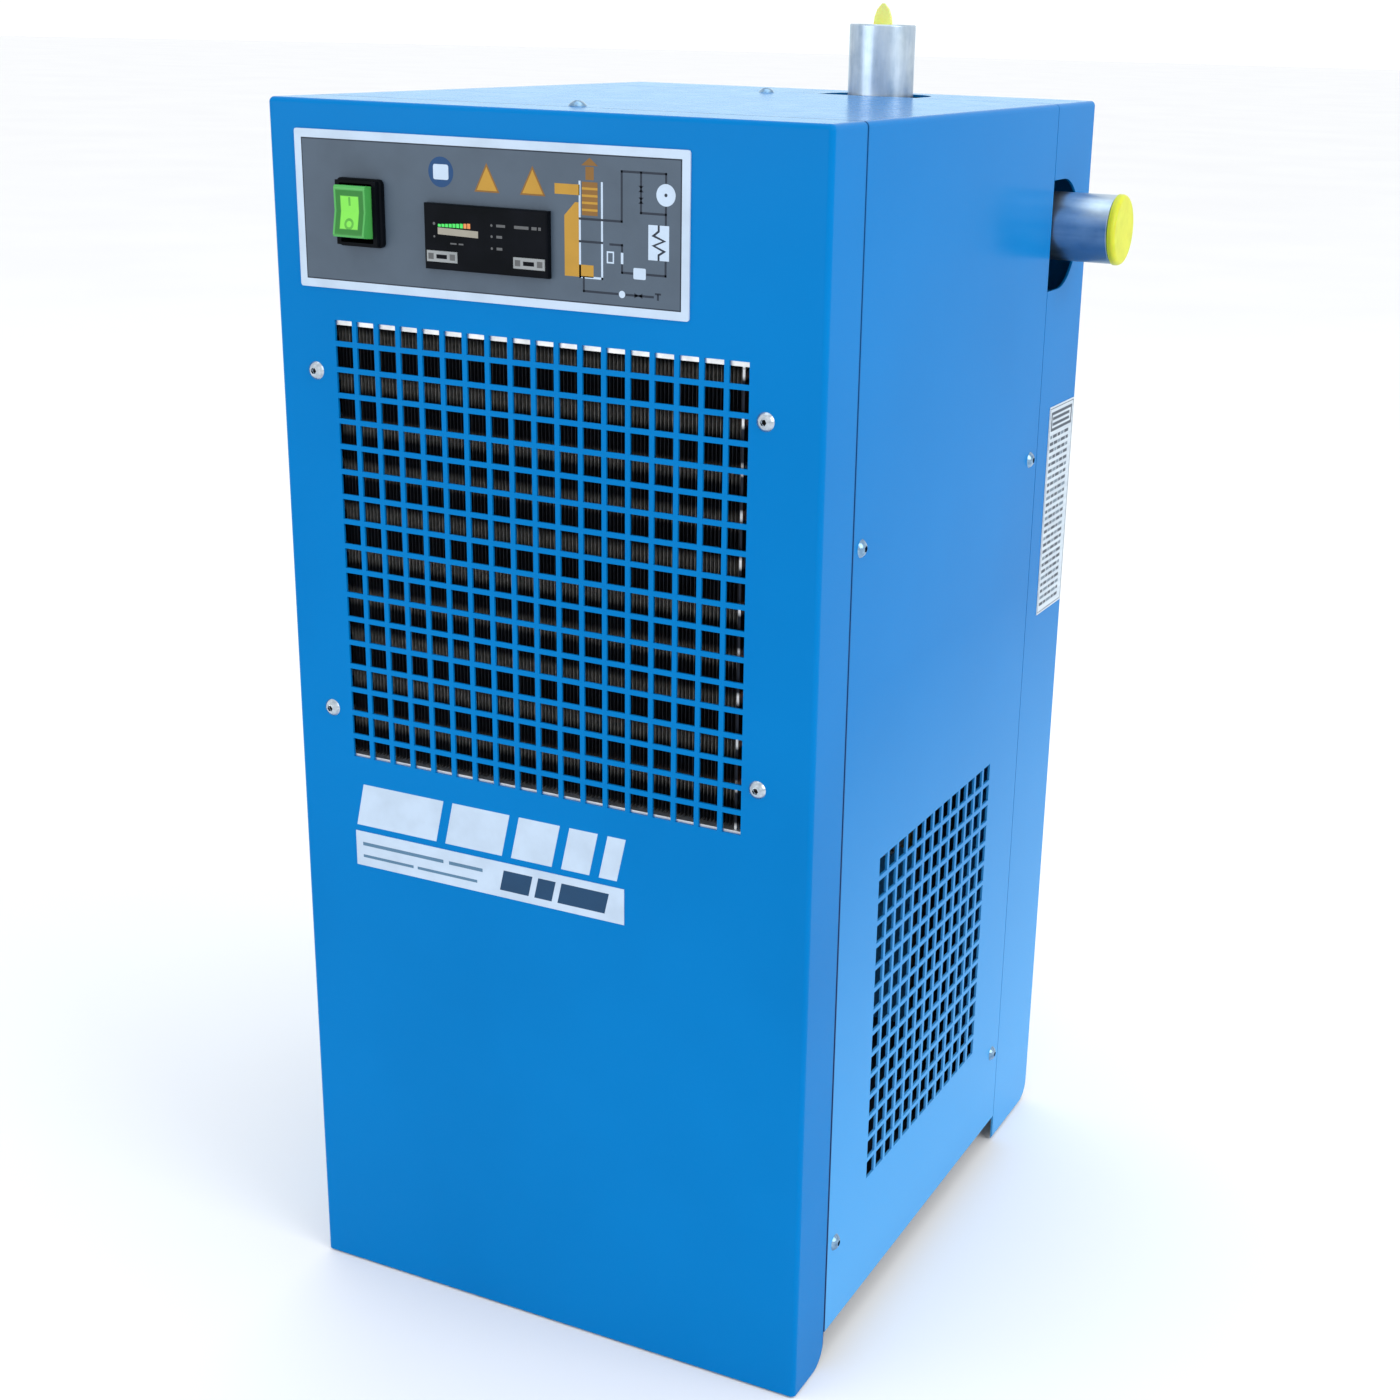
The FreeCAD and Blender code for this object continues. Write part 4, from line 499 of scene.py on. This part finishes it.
def strokes(points, width):
    """A line of even width through points at right angles, as one box for each run."""
    half = width / 2
    return [box_shape(min(u0, u1) - half, min(v0, v1) - half, max(u0, u1) + half, max(v0, v1) + half)
            for (u0, v0), (u1, v1) in zip(points, points[1:])]


def slab(build, outline, out):
    """Adds a thin closed layer whose outer face runs through the outline."""
    front = [build.verts.new(place) for place in outline]
    back = [build.verts.new(vert.co - out * INK) for vert in front]
    build.faces.new(front)
    build.faces.new(back[::-1])
    for i, vert in enumerate(front):
        build.faces.new((front[i - 1], back[i - 1], back[i], vert))


def as_mesh(name, build):
    """Turns a built shape into a mesh."""
    mesh = bpy.data.meshes.new(name)
    build.to_mesh(mesh)
    build.free()
    return mesh


def as_closed_mesh(name, build):
    """The same for closed shapes, with every face turned outward."""
    bmesh.ops.recalc_face_normals(build, faces=build.faces)
    return as_mesh(name, build)


def as_piece(name, mesh, material, body):
    """Adds a mesh as a piece that rides on a body."""
    piece = bpy.data.objects.new(name, mesh)
    bpy.context.scene.collection.objects.link(piece)
    mesh.materials.append(material)
    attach(piece, body)
    return piece


def printed(name, face, shapes, material, layer, body="cabinet"):
    """Thin closed layers of ink or film on a face, one for each outline."""
    build = bmesh.new()
    for outline in shapes:
        slab(build, [face.point(u, v, layer) for u, v in outline], face.out)
    as_piece(name, as_closed_mesh(name, build), material, body)


# ---------------------------------------------------------------- finishes of the CAD nodes

FINISHES = (
    (blue_paint, ("front_panel",)),
    (hood_paint, ("side_and_top_hood", "back_panel")),
    (satin_black_paint, ("base_plate", "exchanger_stand", "compressor_feet", "fan_blades", "fan_motor",
                         "compressor_lower_shell", "compressor_upper_shell")),
    (bright_zinc, ("front_panel_screws", "back_panel_screws", "compressor_bolts")),
    (zinc_with_painted_reflection, ("hood_screws",)),
    (galvanised, ("fan_shroud", "fan_bracket", "electrical_box")),
    (mill_aluminium, ("exchanger_core", "run_capacitor", "drain_elbow")),
    (copper, ("condenser_tubes", "discharge_line", "liquid_line", "suction_line", "bypass_line",
              "capillary_coil", "filter_dryer")),
    (machined_iron, ("compressor_stator", "compressor_rotor", "compressor_crankcase")),
    (rubber, ("rubber_grommets",)),
    (foam, ("insulation_front", "insulation_rear")),
    (brass, ("hot_gas_valve", "pressure_switch", "drain_valve_body", "drain_strainer", "drain_solenoid_body",
             "drain_bulkhead")),
    (silver_film, ("rating_label",)),
)
for finish, node_names in FINISHES:
    wear(node_names, finish())

black_plastic = moulded("black_plastic", (0.002, 0.003, 0.004), (0.005, 0.006, 0.009), 0.30, IOR=1.10)
wear(("switch_bezel", "controller_housing", "terminal_block", "cable_gland", "compressor_terminal_cover",
      "drain_solenoid_coil"), black_plastic)
wear(("controller_button_left", "controller_button_right"),
     moulded("button_grey", (0.19, 0.21, 0.22), (0.27, 0.29, 0.30), 0.45))
wear(("drain_valve_lever",), moulded("lever_red", (0.45, 0.02, 0.02), (0.60, 0.04, 0.03), 0.35))
wear(("drain_tube",), moulded("nylon_tube", (0.60, 0.62, 0.64), (0.72, 0.74, 0.76), 0.35))
inlet_low, inlet_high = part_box("air_inlet_coupling")
wear(("air_inlet_coupling",), zinc_pipe("zinc_pipe_level", (0.15, 1, 1), (inlet_low.z, inlet_high.z - 0.012)))
wear(("air_outlet_coupling",), zinc_pipe("zinc_pipe_upright", (1, 1, 0.15)))
wear(("inlet_plug",), soft_plastic("plug_yellow", srgb(190, 196, 14), srgb(204, 208, 30)))
wear(("outlet_plug",), soft_plastic("plug_pale", srgb(206, 214, 110), srgb(220, 226, 140)))
wear(("switch_rocker",), rocker_lens(*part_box("switch_rocker")))
white_ink = printed_film("white_ink", srgb(184, 202, 222))
wear(("control_panel_plate", "front_label"), white_ink)


# ---------------------------------------------------------------- condenser fins

FIN_PITCH = 2.4 * MM
FIN_GAUGE = 0.2 * MM
FIN_WAVE = 0.35 * MM
FIN_FOLDS = 8
TUBE_PITCH = 25.4 * MM
TUBE_FIRST = 21.3 * MM          # from the bottom of the fins to the lowest tube


def condenser_fins():
    """The pack of thin plates, each folded in shallow waves from front to back, and its frame's finish."""
    low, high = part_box("condenser_fins")
    build = bmesh.new()
    count = int((high.x - low.x) / FIN_PITCH)
    start = (low.x + high.x - (count - 1) * FIN_PITCH) / 2
    for number in range(count):
        middle = start + number * FIN_PITCH
        rings = []
        for fold in range(FIN_FOLDS + 1):
            y = low.y + (high.y - low.y) * fold / FIN_FOLDS
            x = middle + FIN_WAVE * (-1) ** fold
            left, right = x - FIN_GAUGE / 2, x + FIN_GAUGE / 2
            rings.append([build.verts.new(place) for place in
                          ((left, y, low.z), (right, y, low.z), (right, y, high.z), (left, y, high.z))])
        for near, far in zip(rings, rings[1:]):
            for i in range(4):
                build.faces.new((near[i - 1], near[i], far[i], far[i - 1]))
        build.faces.new(rings[0])
        build.faces.new(rings[-1][::-1])
    mesh = as_closed_mesh("condenser_fin_plates", build)
    lowest_tube = low.z + TUBE_FIRST
    finish = fin_aluminium(TUBE_PITCH, lowest_tube)
    piece = as_piece("condenser_fin_plates", mesh, finish, "cabinet")
    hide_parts("condenser_fins")
    wear(("condenser_frame",), framing_zinc(TUBE_PITCH, lowest_tube, low.z, high.z))


# ---------------------------------------------------------------- control panel print

# Places and widths on the plate are in mm from its lower left corner.
BORDER = 4.6                    # white margin
BORDER_LINE = 0.7               # dark line inside it
WINDOW_INSET = 1.0              # from a fitting's outline in to the edge of the ink round it
LINE = 1.15                     # width of the flow diagram's lines
ICON_DISC = (96.8, 67.2, 8.0)   # middle and radius
ICON_PAGE = (91.9, 63.2, 101.7, 71.2)
TRIANGLES = (125.9, 154.5)      # middles of the two triangles
VESSEL_LEFT, VESSEL_RIGHT, VESSEL_LOW, VESSEL_TOP = 183.2, 196.6, 18.2, 66.8
UPPER_SHELF, LOWER_SHELF = 48.2, 36.6
CORE_LEFT, CORE_RIGHT, CORE_LOW = 184.6, 194.0, 50.0
LOOP_RIGHT, LOOP_TOP, LOOP_LOW = 234.4, 73.4, 22.2
LOOP_RISE = 208.4               # the pipe that rises from the vessel's upper shelf
BYPASS = (219.8, 53.2)          # the bypass's column and its lower end
COIL_LOW, COIL_TOP = 29.8, 47.6
FAN_LEVEL = 62.9
DRAIN = 11.0                    # level of the drain line


def panel_icons(ink, amber, brown, blue):
    """The round and the triangular signs, drawn blank."""
    ink("icon_disc", [disc_shape(*ICON_DISC)], blue)
    ink("icon_page", [rounded_shape(*ICON_PAGE, 1.2)], white_ink, 4)
    edges = [[(middle - 7.9, 58.2), (middle + 7.9, 58.2), (middle, 73.4)] for middle in TRIANGLES]
    fills = [[(middle - 6.4, 59.1), (middle + 6.4, 59.1), (middle, 71.4)] for middle in TRIANGLES]
    ink("icon_triangle_edges", edges, brown)
    ink("icon_triangles", fills, amber, 4)


def panel_vessel(ink, amber, brown, dark):
    """The air's way in, down the vessel and out."""
    ink("air_in", [box_shape(168.0, 60.0, VESSEL_LEFT, 65.4)], amber)
    ink("air_path", [[(173.8, VESSEL_LOW), (182.6, VESSEL_LOW), (191.4, VESSEL_LOW), (191.4, 24.6),
                      (182.6, 24.6), (182.6, 56.4), (180.4, 56.4), (173.8, 49.4)]], amber)
    corners = [(VESSEL_LEFT, VESSEL_TOP), (VESSEL_LEFT, VESSEL_LOW),
               (VESSEL_RIGHT, VESSEL_LOW), (VESSEL_RIGHT, VESSEL_TOP)]
    ink("vessel", strokes(corners, LINE), white_ink)
    shelves = []
    for level in (UPPER_SHELF, LOWER_SHELF):
        shelves += strokes([(VESSEL_LEFT, level), (VESSEL_RIGHT, level)], LINE)
    ink("vessel_shelves", shelves, dark, 4)
    core = box_shape(CORE_LEFT, CORE_LOW, CORE_RIGHT, 67.0)
    arrow = [box_shape(186.8, 68.0, 191.8, 74.6), [(184.2, 75.2), (194.4, 75.2), (189.3, 79.2)]]
    ink("air_out", [core, *arrow], brown)
    bars = [CORE_LOW + 2.2 + 3.6 * bar for bar in range(4)]
    ink("air_out_bars", [box_shape(CORE_LEFT, low, CORE_RIGHT, low + 1.2) for low in bars], amber, 4)


def panel_refrigerant(ink, dark):
    """The refrigerant's way round: fan, condenser, filter and valve on their line."""
    column, foot = BYPASS
    loop = strokes([(197.2, UPPER_SHELF), (LOOP_RISE, UPPER_SHELF), (LOOP_RISE, LOOP_TOP),
                    (LOOP_RIGHT, LOOP_TOP), (LOOP_RIGHT, 68.0)], LINE)
    loop += strokes([(column, LOOP_TOP), (column, foot), (LOOP_RIGHT, foot)], LINE)
    loop += strokes([(LOOP_RIGHT, 57.6), (LOOP_RIGHT, 47.8)], LINE)
    loop += strokes([(LOOP_RIGHT, COIL_LOW), (LOOP_RIGHT, LOOP_LOW), (222.8, LOOP_LOW)], LINE)
    loop += strokes([(215.4, LOOP_LOW), (208.6, LOOP_LOW), (208.6, 36.2), (201.6, 36.2)], LINE)
    for level in (65.2, 59.4):
        loop.append([(column - 1.6, level - 1.6), (column + 1.6, level - 1.6), (column, level)])
        loop.append([(column - 1.6, level + 1.6), (column, level), (column + 1.6, level + 1.6)])
    ink("refrigerant_loop", loop, dark)
    ink("loop_fan", [disc_shape(LOOP_RIGHT, FAN_LEVEL, 5.6)], white_ink, 4)
    ink("loop_fan_hub", [disc_shape(LOOP_RIGHT, FAN_LEVEL, 0.9, 16)], dark, 5)
    ink("loop_condenser", [box_shape(224.2, COIL_LOW, 236.4, COIL_TOP)], white_ink, 4)
    middle, swing = 230.3, (227.2, 233.6)
    zigzag = [(middle, COIL_TOP), (middle, 44.6)]
    zigzag += [(swing[fold % 2], level) for fold, level in enumerate((42.2, 39.8, 37.2, 34.6))]
    zigzag += [(middle, 32.6), (middle, COIL_LOW)]
    ink("loop_condenser_coil", slanted(zigzag, LINE), dark, 5)
    ink("loop_filter", [rounded_shape(215.4, 19.4, 222.8, 25.2, 0.8), box_shape(207.9, 26.6, 209.4, 32.4)],
        white_ink, 4)
    ink("loop_valve", ring_shape(199.4, 26.4, 203.8, 32.6, 0.8), white_ink, 3)


def panel_drain(ink, dark):
    """The drain line with its float, its valve and its end."""
    line = strokes([(185.4, 17.6), (185.4, DRAIN), (227.0, DRAIN)], LINE)
    line += [[(216.0, DRAIN - 1.4), (218.4, DRAIN), (216.0, DRAIN + 1.4)],
             [(220.8, DRAIN - 1.4), (218.4, DRAIN), (220.8, DRAIN + 1.4)],
             box_shape(229.4, DRAIN - 1.6, 230.6, DRAIN + 1.6), box_shape(228.2, 12.2, 231.8, 13.2)]
    ink("drain_line", line, dark)
    ink("drain_float", [disc_shape(208.6, DRAIN, 1.9, 20)], white_ink, 4)


def control_panel():
    """The plate's printed field, icons and flow diagram."""
    plate = Face("control_panel_plate", "front")
    grey = printed_film("panel_grey_ink", srgb(76, 90, 105))
    dark = printed_film("panel_dark_ink", srgb(34, 44, 58))
    amber = printed_film("panel_amber_ink", srgb(178, 136, 50))
    brown = printed_film("panel_brown_ink", srgb(128, 92, 44))
    blue = printed_film("panel_blue_ink", srgb(22, 66, 112))
    windows = [window_in(plate, "switch_bezel"), window_in(plate, "controller_housing")]
    for name, inset, colour, layer in (("panel_border_line", BORDER, dark, 1),
                                       ("panel_field", BORDER + BORDER_LINE, grey, 2)):
        outer = (inset, inset, plate.width - inset, plate.height - inset)
        field_with_windows(name, plate, outer, windows, colour, layer)

    def ink(name, shapes, material, layer=3):
        printed("panel_" + name, plate, shapes, material, layer)

    panel_icons(ink, amber, brown, blue)
    panel_vessel(ink, amber, brown, dark)
    panel_refrigerant(ink, dark)
    panel_drain(ink, dark)


def window_in(face, node):
    """The sides of another node's outline on this face, a little inside it, in the face's mm."""
    low, high = ((corner - face.corner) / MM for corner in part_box(node))
    return (low.x + WINDOW_INSET, low.z + WINDOW_INSET, high.x - WINDOW_INSET, high.z - WINDOW_INSET)


def field_with_windows(name, face, outer, windows, material, layer):
    """A rectangle of ink, left open at the windows: the cells of the grid that their sides make."""
    across = sorted({outer[0], outer[2], *[w[i] for w in windows for i in (0, 2)]})
    up = sorted({outer[1], outer[3], *[w[i] for w in windows for i in (1, 3)]})
    build = bmesh.new()
    corners = {(u, v): build.verts.new(face.point(u, v, layer)) for u in across for v in up}
    for left, right in zip(across, across[1:]):
        for low, high in zip(up, up[1:]):
            middle = ((left + right) / 2, (low + high) / 2)
            if not any(w[0] < middle[0] < w[2] and w[1] < middle[1] < w[3] for w in windows):
                build.faces.new([corners[place] for place in box_shape(left, low, right, high)])
    loose = [vert for vert in build.verts if not vert.link_faces]
    bmesh.ops.delete(build, geom=loose, context="VERTS")
    piece = as_piece(name, as_mesh(name, build), material, "cabinet")
    thick = piece.modifiers.new("thickness", "SOLIDIFY")
    thick.thickness = INK
    thick.offset = -1


def slanted(points, width):
    """A line of even width through points in any direction, with mitred bends, as one band."""
    lefts, rights = [], []
    for i, (u, v) in enumerate(points):
        before = points[max(i - 1, 0)]
        after = points[min(i + 1, len(points) - 1)]
        way_in = Vector((u - before[0], v - before[1])).normalized()
        way_out = Vector((after[0] - u, after[1] - v)).normalized()
        way = (way_in + way_out).normalized()
        side = Vector((-way.y, way.x)) * width / 2
        stretch = max(way.dot(way_out if way_out.length else way_in), 0.5)
        lefts.append((u + side.x / stretch, v + side.y / stretch))
        rights.append((u - side.x / stretch, v - side.y / stretch))
    return [[rights[i], rights[i + 1], lefts[i + 1], lefts[i]] for i in range(len(points) - 1)]


def ring_shape(left, low, right, high, width):
    """A rectangle's outline of even width, as four bars."""
    return [box_shape(left, low, right, low + width), box_shape(left, high - width, right, high),
            box_shape(left, low + width, left + width, high - width),
            box_shape(right - width, low + width, right, high - width)]


# ---------------------------------------------------------------- controller face and switch marks

SCALE_LEFT = 9.0                # left end of the display's lamps and scale, in mm from the face's corner
LAMP_PITCH, LAMP_WIDE = 2.35, 1.9
LAMPS, LAMPS_LIT = 9, 7
SIDE_LEVELS = (25.6, 19.8, 13.6)
SIDE_LEGENDS = (5.6, 3.6, 3.6)  # lengths of the legends beside the side lamps
HEAD_LEGENDS = ((57.6, 66.6), (68.4, 71.6), (72.6, 74.2))


def controller_face():
    """The display window's lamps, scale and blank legends, and the keys' marks."""
    face = Face("controller_housing", "front")
    pale = printed_film("controller_pale_ink", srgb(150, 146, 134))
    dim = printed_film("controller_dim_ink", srgb(88, 90, 92))
    green = lamp("lamp_green", srgb(40, 190, 70), 0.5)
    orange = lamp("lamp_orange", srgb(200, 120, 50), 0.25)

    def ink(name, shapes, material):
        printed("controller_" + name, face, shapes, material, 1)

    bars = []
    for number in range(LAMPS):
        left = SCALE_LEFT + 0.2 + LAMP_PITCH * number
        bars.append(box_shape(left, 22.9, left + LAMP_WIDE, 24.3 + 0.16 * number))
    ink("lamps_lit", bars[:LAMPS_LIT], green)
    ink("lamps_warm", bars[LAMPS_LIT:], orange)
    ink("scale", [[(SCALE_LEFT, 18.9), (34.8, 18.3), (34.8, 21.9), (SCALE_LEFT, 22.5)]], pale)
    ink("marks", [disc_shape(6.7, 24.4, 0.8, 16), disc_shape(6.7, 17.6, 0.6, 16),
                  box_shape(16.9, 14.0, 20.9, 14.8), box_shape(22.3, 14.0, 25.3, 14.8)], dim)
    ink("side_lamps", [disc_shape(43.4, level, 0.7, 16) for level in SIDE_LEVELS], dim)
    ink("side_legends", [box_shape(46.4, level - 0.7, 46.4 + wide, level + 0.7)
                         for level, wide in zip(SIDE_LEVELS, SIDE_LEGENDS)], dim)
    ink("head_legends", [box_shape(left, 24.8, right, 26.4) for left, right in HEAD_LEGENDS], dim)
    for side in ("left", "right"):
        key_print(side, dim)


def key_print(side, shade):
    """A dark mark in the middle of a key and a shaded patch at each end of it."""
    key = Face("controller_button_" + side, "front")
    body = side + "_button"
    middle, level = key.width / 2, key.height / 2
    mark = [box_shape(middle - 3.4, level - 1.1, middle + 3.4, level + 1.1)]
    printed("button_mark_" + side, key, mark, black_plastic, 1, body)
    ends = [box_shape(left, level - 1.6, left + 3.4, level + 1.6) for left in (1.2, key.width - 4.6)]
    printed("button_ends_" + side, key, ends, shade, 1, body)


# ---------------------------------------------------------------- front mark and labels

MARK_BARS = (58.0, 40.0, 28.0, 19.0, 12.0)      # widths of the slanted bars, in mm
MARK_GAP = 6.5
MARK_RISE = 4.0                 # from the label's top edge up to the bars
MARK_TALL = 27.0
MARK_SLANT = 6.0
MARK_LAYER = -9                 # the bars lie on the panel, that much under the label's face
LABEL_LINES = ((5.0, 13.4, 64.0, 15.6), (68.0, 13.4, 92.0, 15.6),
               (5.0, 5.6, 42.0, 7.4), (45.0, 5.6, 88.0, 7.4))
LABEL_BLOCKS = ((104.0, 20.0), (128.0, 12.0), (144.0, 32.0))     # left ends and widths


def slanted_block(left, low, wide, top, slant):
    return [(left, low), (left + wide, low), (left + wide + slant, top), (left + slant, top)]


def front_mark():
    """A plain mark of slanted bars over the label, and the label's blank lines of print."""
    label = Face("front_label", "front")
    pale = printed_film("label_blue_ink", srgb(84, 120, 148))
    deep = printed_film("label_deep_ink", srgb(22, 62, 96))
    bars = []
    base = label.height + MARK_RISE
    left = 1.0
    for wide in MARK_BARS:
        bars.append(slanted_block(left, base, wide, base + MARK_TALL, MARK_SLANT))
        left += wide + MARK_GAP
    printed("front_mark", label, bars, white_ink, MARK_LAYER)
    printed("front_label_lines", label, [box_shape(*line) for line in LABEL_LINES], pale, 1)
    blocks = [slanted_block(left, 4.6, wide, 17.6, 3.0) for left, wide in LABEL_BLOCKS]
    printed("front_label_blocks", label, blocks, deep, 1)


RATING_ROWS = 26
RATING_MARGIN = 4.0
HEADING_TALL = 13.0             # height of the boxed heading, in mm
WORD_GAP = 1.4
WORD_HALF = 1.1                 # half the height of a blank word
SHORTEST_WORD = 1.0


def rating_rows(wide, heading):
    """Blank words of changing length in close rows under the heading, some to be printed paler."""
    words, pale_words = [], []
    pitch = (heading - 6.0) / RATING_ROWS
    for row in range(RATING_ROWS):
        level = heading - 4.0 - pitch * row
        start = RATING_MARGIN
        for word in range(5):
            long = 4.0 + 5.0 * math.sin(2.3 * row + 1.9 * word) ** 2
            end = min(start + long, wide - RATING_MARGIN)
            if end - start > SHORTEST_WORD:
                ink = words if (row + word) % 3 else pale_words
                ink.append(box_shape(start, level - WORD_HALF, end, level + WORD_HALF))
            start = end + WORD_GAP
    return words, pale_words


def rating_print():
    """The rating label's frame, its boxed heading and close rows of blank print."""
    label = Face("rating_label", "right")
    ink = printed_film("rating_ink", srgb(58, 70, 84))
    grey = printed_film("rating_grey_ink", srgb(104, 122, 136))
    wide, tall = label.width, label.height
    heading = tall - RATING_MARGIN - HEADING_TALL
    shapes = ring_shape(1.2, 1.2, wide - 1.2, tall - 1.2, 0.5)
    shapes += ring_shape(RATING_MARGIN, heading, wide - RATING_MARGIN, tall - RATING_MARGIN, 2.0)
    shapes += [box_shape(7.0, level, wide - 9.0, level + 2.0) for level in (heading + 3.6, heading + 7.4)]
    printed("rating_frame", label, shapes, ink, 1)
    words, pale_words = rating_rows(wide, heading)
    printed("rating_words", label, words, ink, 1)
    printed("rating_fields", label, pale_words, grey, 1)


# ---------------------------------------------------------------- screw sockets and their painted shade

SOCKET = 1.7 * MM               # reach of the painted shade on the floor of a screw's socket
SOCKET_LEVEL = 1.2 * MM         # height of that floor over the sheet
HEAD = 5.25 * MM                # radius of a screw's head


def head_middles(node, axis, face):
    """The middle of each screw head that stands out past a face of the cabinet."""
    side = math.copysign(1, face)
    heads = []
    for vert in nodes[node].data.vertices:
        if vert.co[axis] * side > abs(face) + LAYER:
            head = next((h for h in heads if (vert.co - h[0]).length < 3 * HEAD), None)
            if head:
                head.append(vert.co.copy())
            else:
                heads.append([vert.co.copy()])
    middles = []
    for head in heads:
        low = [min(place[i] for place in head) for i in range(3)]
        high = [max(place[i] for place in head) for i in range(3)]
        middle = (Vector(low) + Vector(high)) / 2
        middle[axis] = face + side * SOCKET_LEVEL
        middles.append(middle)
    return middles


def socket_shade_plates(name, node, axis, faces):
    """Painted shade: dark hexagons in the sockets of a group of screws that stand on faces across one axis.
    """
    across = Vector([float(i == (axis + 1) % 3) for i in range(3)])
    along = Vector([float(i == (axis + 2) % 3) for i in range(3)])
    build = bmesh.new()
    for face in faces:
        outward = across.cross(along) * math.copysign(1, face)
        for middle in head_middles(node, axis, face):
            floor = middle + outward * LAYER
            turns = [math.tau * corner / 6 for corner in range(6)]
            rim = [floor + SOCKET * (across * math.cos(turn) + along * math.sin(turn)) for turn in turns]
            slab(build, rim, outward)
    # painted shade in the recesses, in the black plastic finish
    as_piece(name, as_closed_mesh(name, build), black_plastic, "cabinet")


def all_socket_shade():
    """Painted shade in the sockets of the front's, the hood's and the back's screws."""
    hood_low, hood_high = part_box("side_and_top_hood")
    socket_shade_plates("front_screw_socket_shade", "front_panel_screws", 1, [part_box("front_panel")[0].y])
    socket_shade_plates("side_screw_socket_shade", "hood_screws", 0, [hood_low.x, hood_high.x])
    socket_shade_plates("top_screw_socket_shade", "hood_screws", 2, [hood_high.z])
    socket_shade_plates("back_screw_socket_shade", "back_panel_screws", 1, [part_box("back_panel")[1].y])


# ---------------------------------------------------------------- stage, light and camera

FLOOR_RADIUS = 40.0
FLOOR_GAP = 0.2 * MM            # from the floor up to the object, so that their faces don't coincide


def stage():
    """A wide pale floor."""
    build = bmesh.new()
    bmesh.ops.create_circle(build, cap_ends=True, segments=96, radius=FLOOR_RADIUS)
    mesh = as_mesh("floor", build)
    floor = bpy.data.objects.new("floor", mesh)
    floor.location.z = cad_box[0].z - FLOOR_GAP
    bpy.context.scene.collection.objects.link(floor)
    mesh.materials.append(pale_floor())


def softbox(name, place, target, wide, tall, power, colour):
    """A rectangular lamp that faces the target and doesn't show itself."""
    light = bpy.data.lights.new(name, "AREA")
    light.shape = "RECTANGLE"
    light.size = wide
    light.size_y = tall
    light.energy = power
    light.color = colour
    lamp_object = bpy.data.objects.new(name, light)
    lamp_object.location = place
    lamp_object.rotation_euler = (Vector(target) - Vector(place)).to_track_quat("-Z", "Y").to_euler()
    lamp_object.visible_camera = False
    bpy.context.scene.collection.objects.link(lamp_object)


SKY_COLOUR, SKY_STRENGTH = (0.97, 0.985, 1.0, 1), 1.12
SOFTBOXES = (                   # name, place, width, height, power in watts, colour
    ("side_softbox", (3.2, -0.6, 2.2), 2.4, 2.4, 50, (1, 1, 1)),
    ("front_softbox", (-2.2, -4.2, 0.9), 3.0, 1.2, 30, (1, 1, 1)),
    ("overhead_softbox", (0.0, 0.2, 3.0), 2.0, 2.0, 12, (0.75, 0.9, 1.0)),
    ("horizon_softbox", (-1.8, 3.8, 1.05), 3.4, 0.9, 4, (0.3, 1.0, 1.0)),
)


def light():
    """A bright even sky with four soft lamps round the object."""
    world = bpy.data.worlds.new("sky")
    world.use_nodes = True
    sky = world.node_tree.nodes["Background"].inputs
    sky["Color"].default_value = SKY_COLOUR
    sky["Strength"].default_value = SKY_STRENGTH
    bpy.context.scene.world = world
    middle = (cad_box[0] + cad_box[1]) / 2
    for name, place, wide, tall, power, colour in SOFTBOXES:
        softbox(name, place, middle, wide, tall, power, colour)
    bpy.context.scene.view_settings.view_transform = "Standard"


CAMERA_PLACE = (0.60367, -1.16950, 0.79273)
CAMERA_AZIMUTH, CAMERA_ELEVATION, CAMERA_ROLL = 25.34, 19.15, 1.455     # degrees
CAMERA_LENS, CAMERA_SENSOR = 53.41, 36  # focal length and width of the sensor, in mm
CAMERA_SHIFT = (-0.05426, 0.02112)


def camera():
    """A camera at the front right corner, a little above the object's top, looking down at it."""
    data = bpy.data.cameras.new("camera")
    data.lens = CAMERA_LENS
    data.sensor_width = CAMERA_SENSOR
    data.shift_x, data.shift_y = CAMERA_SHIFT
    azimuth, elevation = math.radians(CAMERA_AZIMUTH), math.radians(CAMERA_ELEVATION)
    back = Vector((math.sin(azimuth) * math.cos(elevation), -math.cos(azimuth) * math.cos(elevation),
                   math.sin(elevation)))
    right = Vector((math.cos(azimuth), math.sin(azimuth), 0))
    up = back.cross(right)
    roll = math.radians(CAMERA_ROLL)
    rolled_right = right * math.cos(roll) + up * math.sin(roll)
    rolled_up = up * math.cos(roll) - right * math.sin(roll)
    turned = Matrix((rolled_right, rolled_up, back)).transposed().to_4x4()
    made = bpy.data.objects.new("camera", data)
    made.matrix_world = Matrix.Translation(CAMERA_PLACE) @ turned
    bpy.context.scene.collection.objects.link(made)
    bpy.context.scene.camera = made


condenser_fins()
control_panel()
controller_face()
front_mark()
rating_print()
all_socket_shade()
stage()
light()
camera()
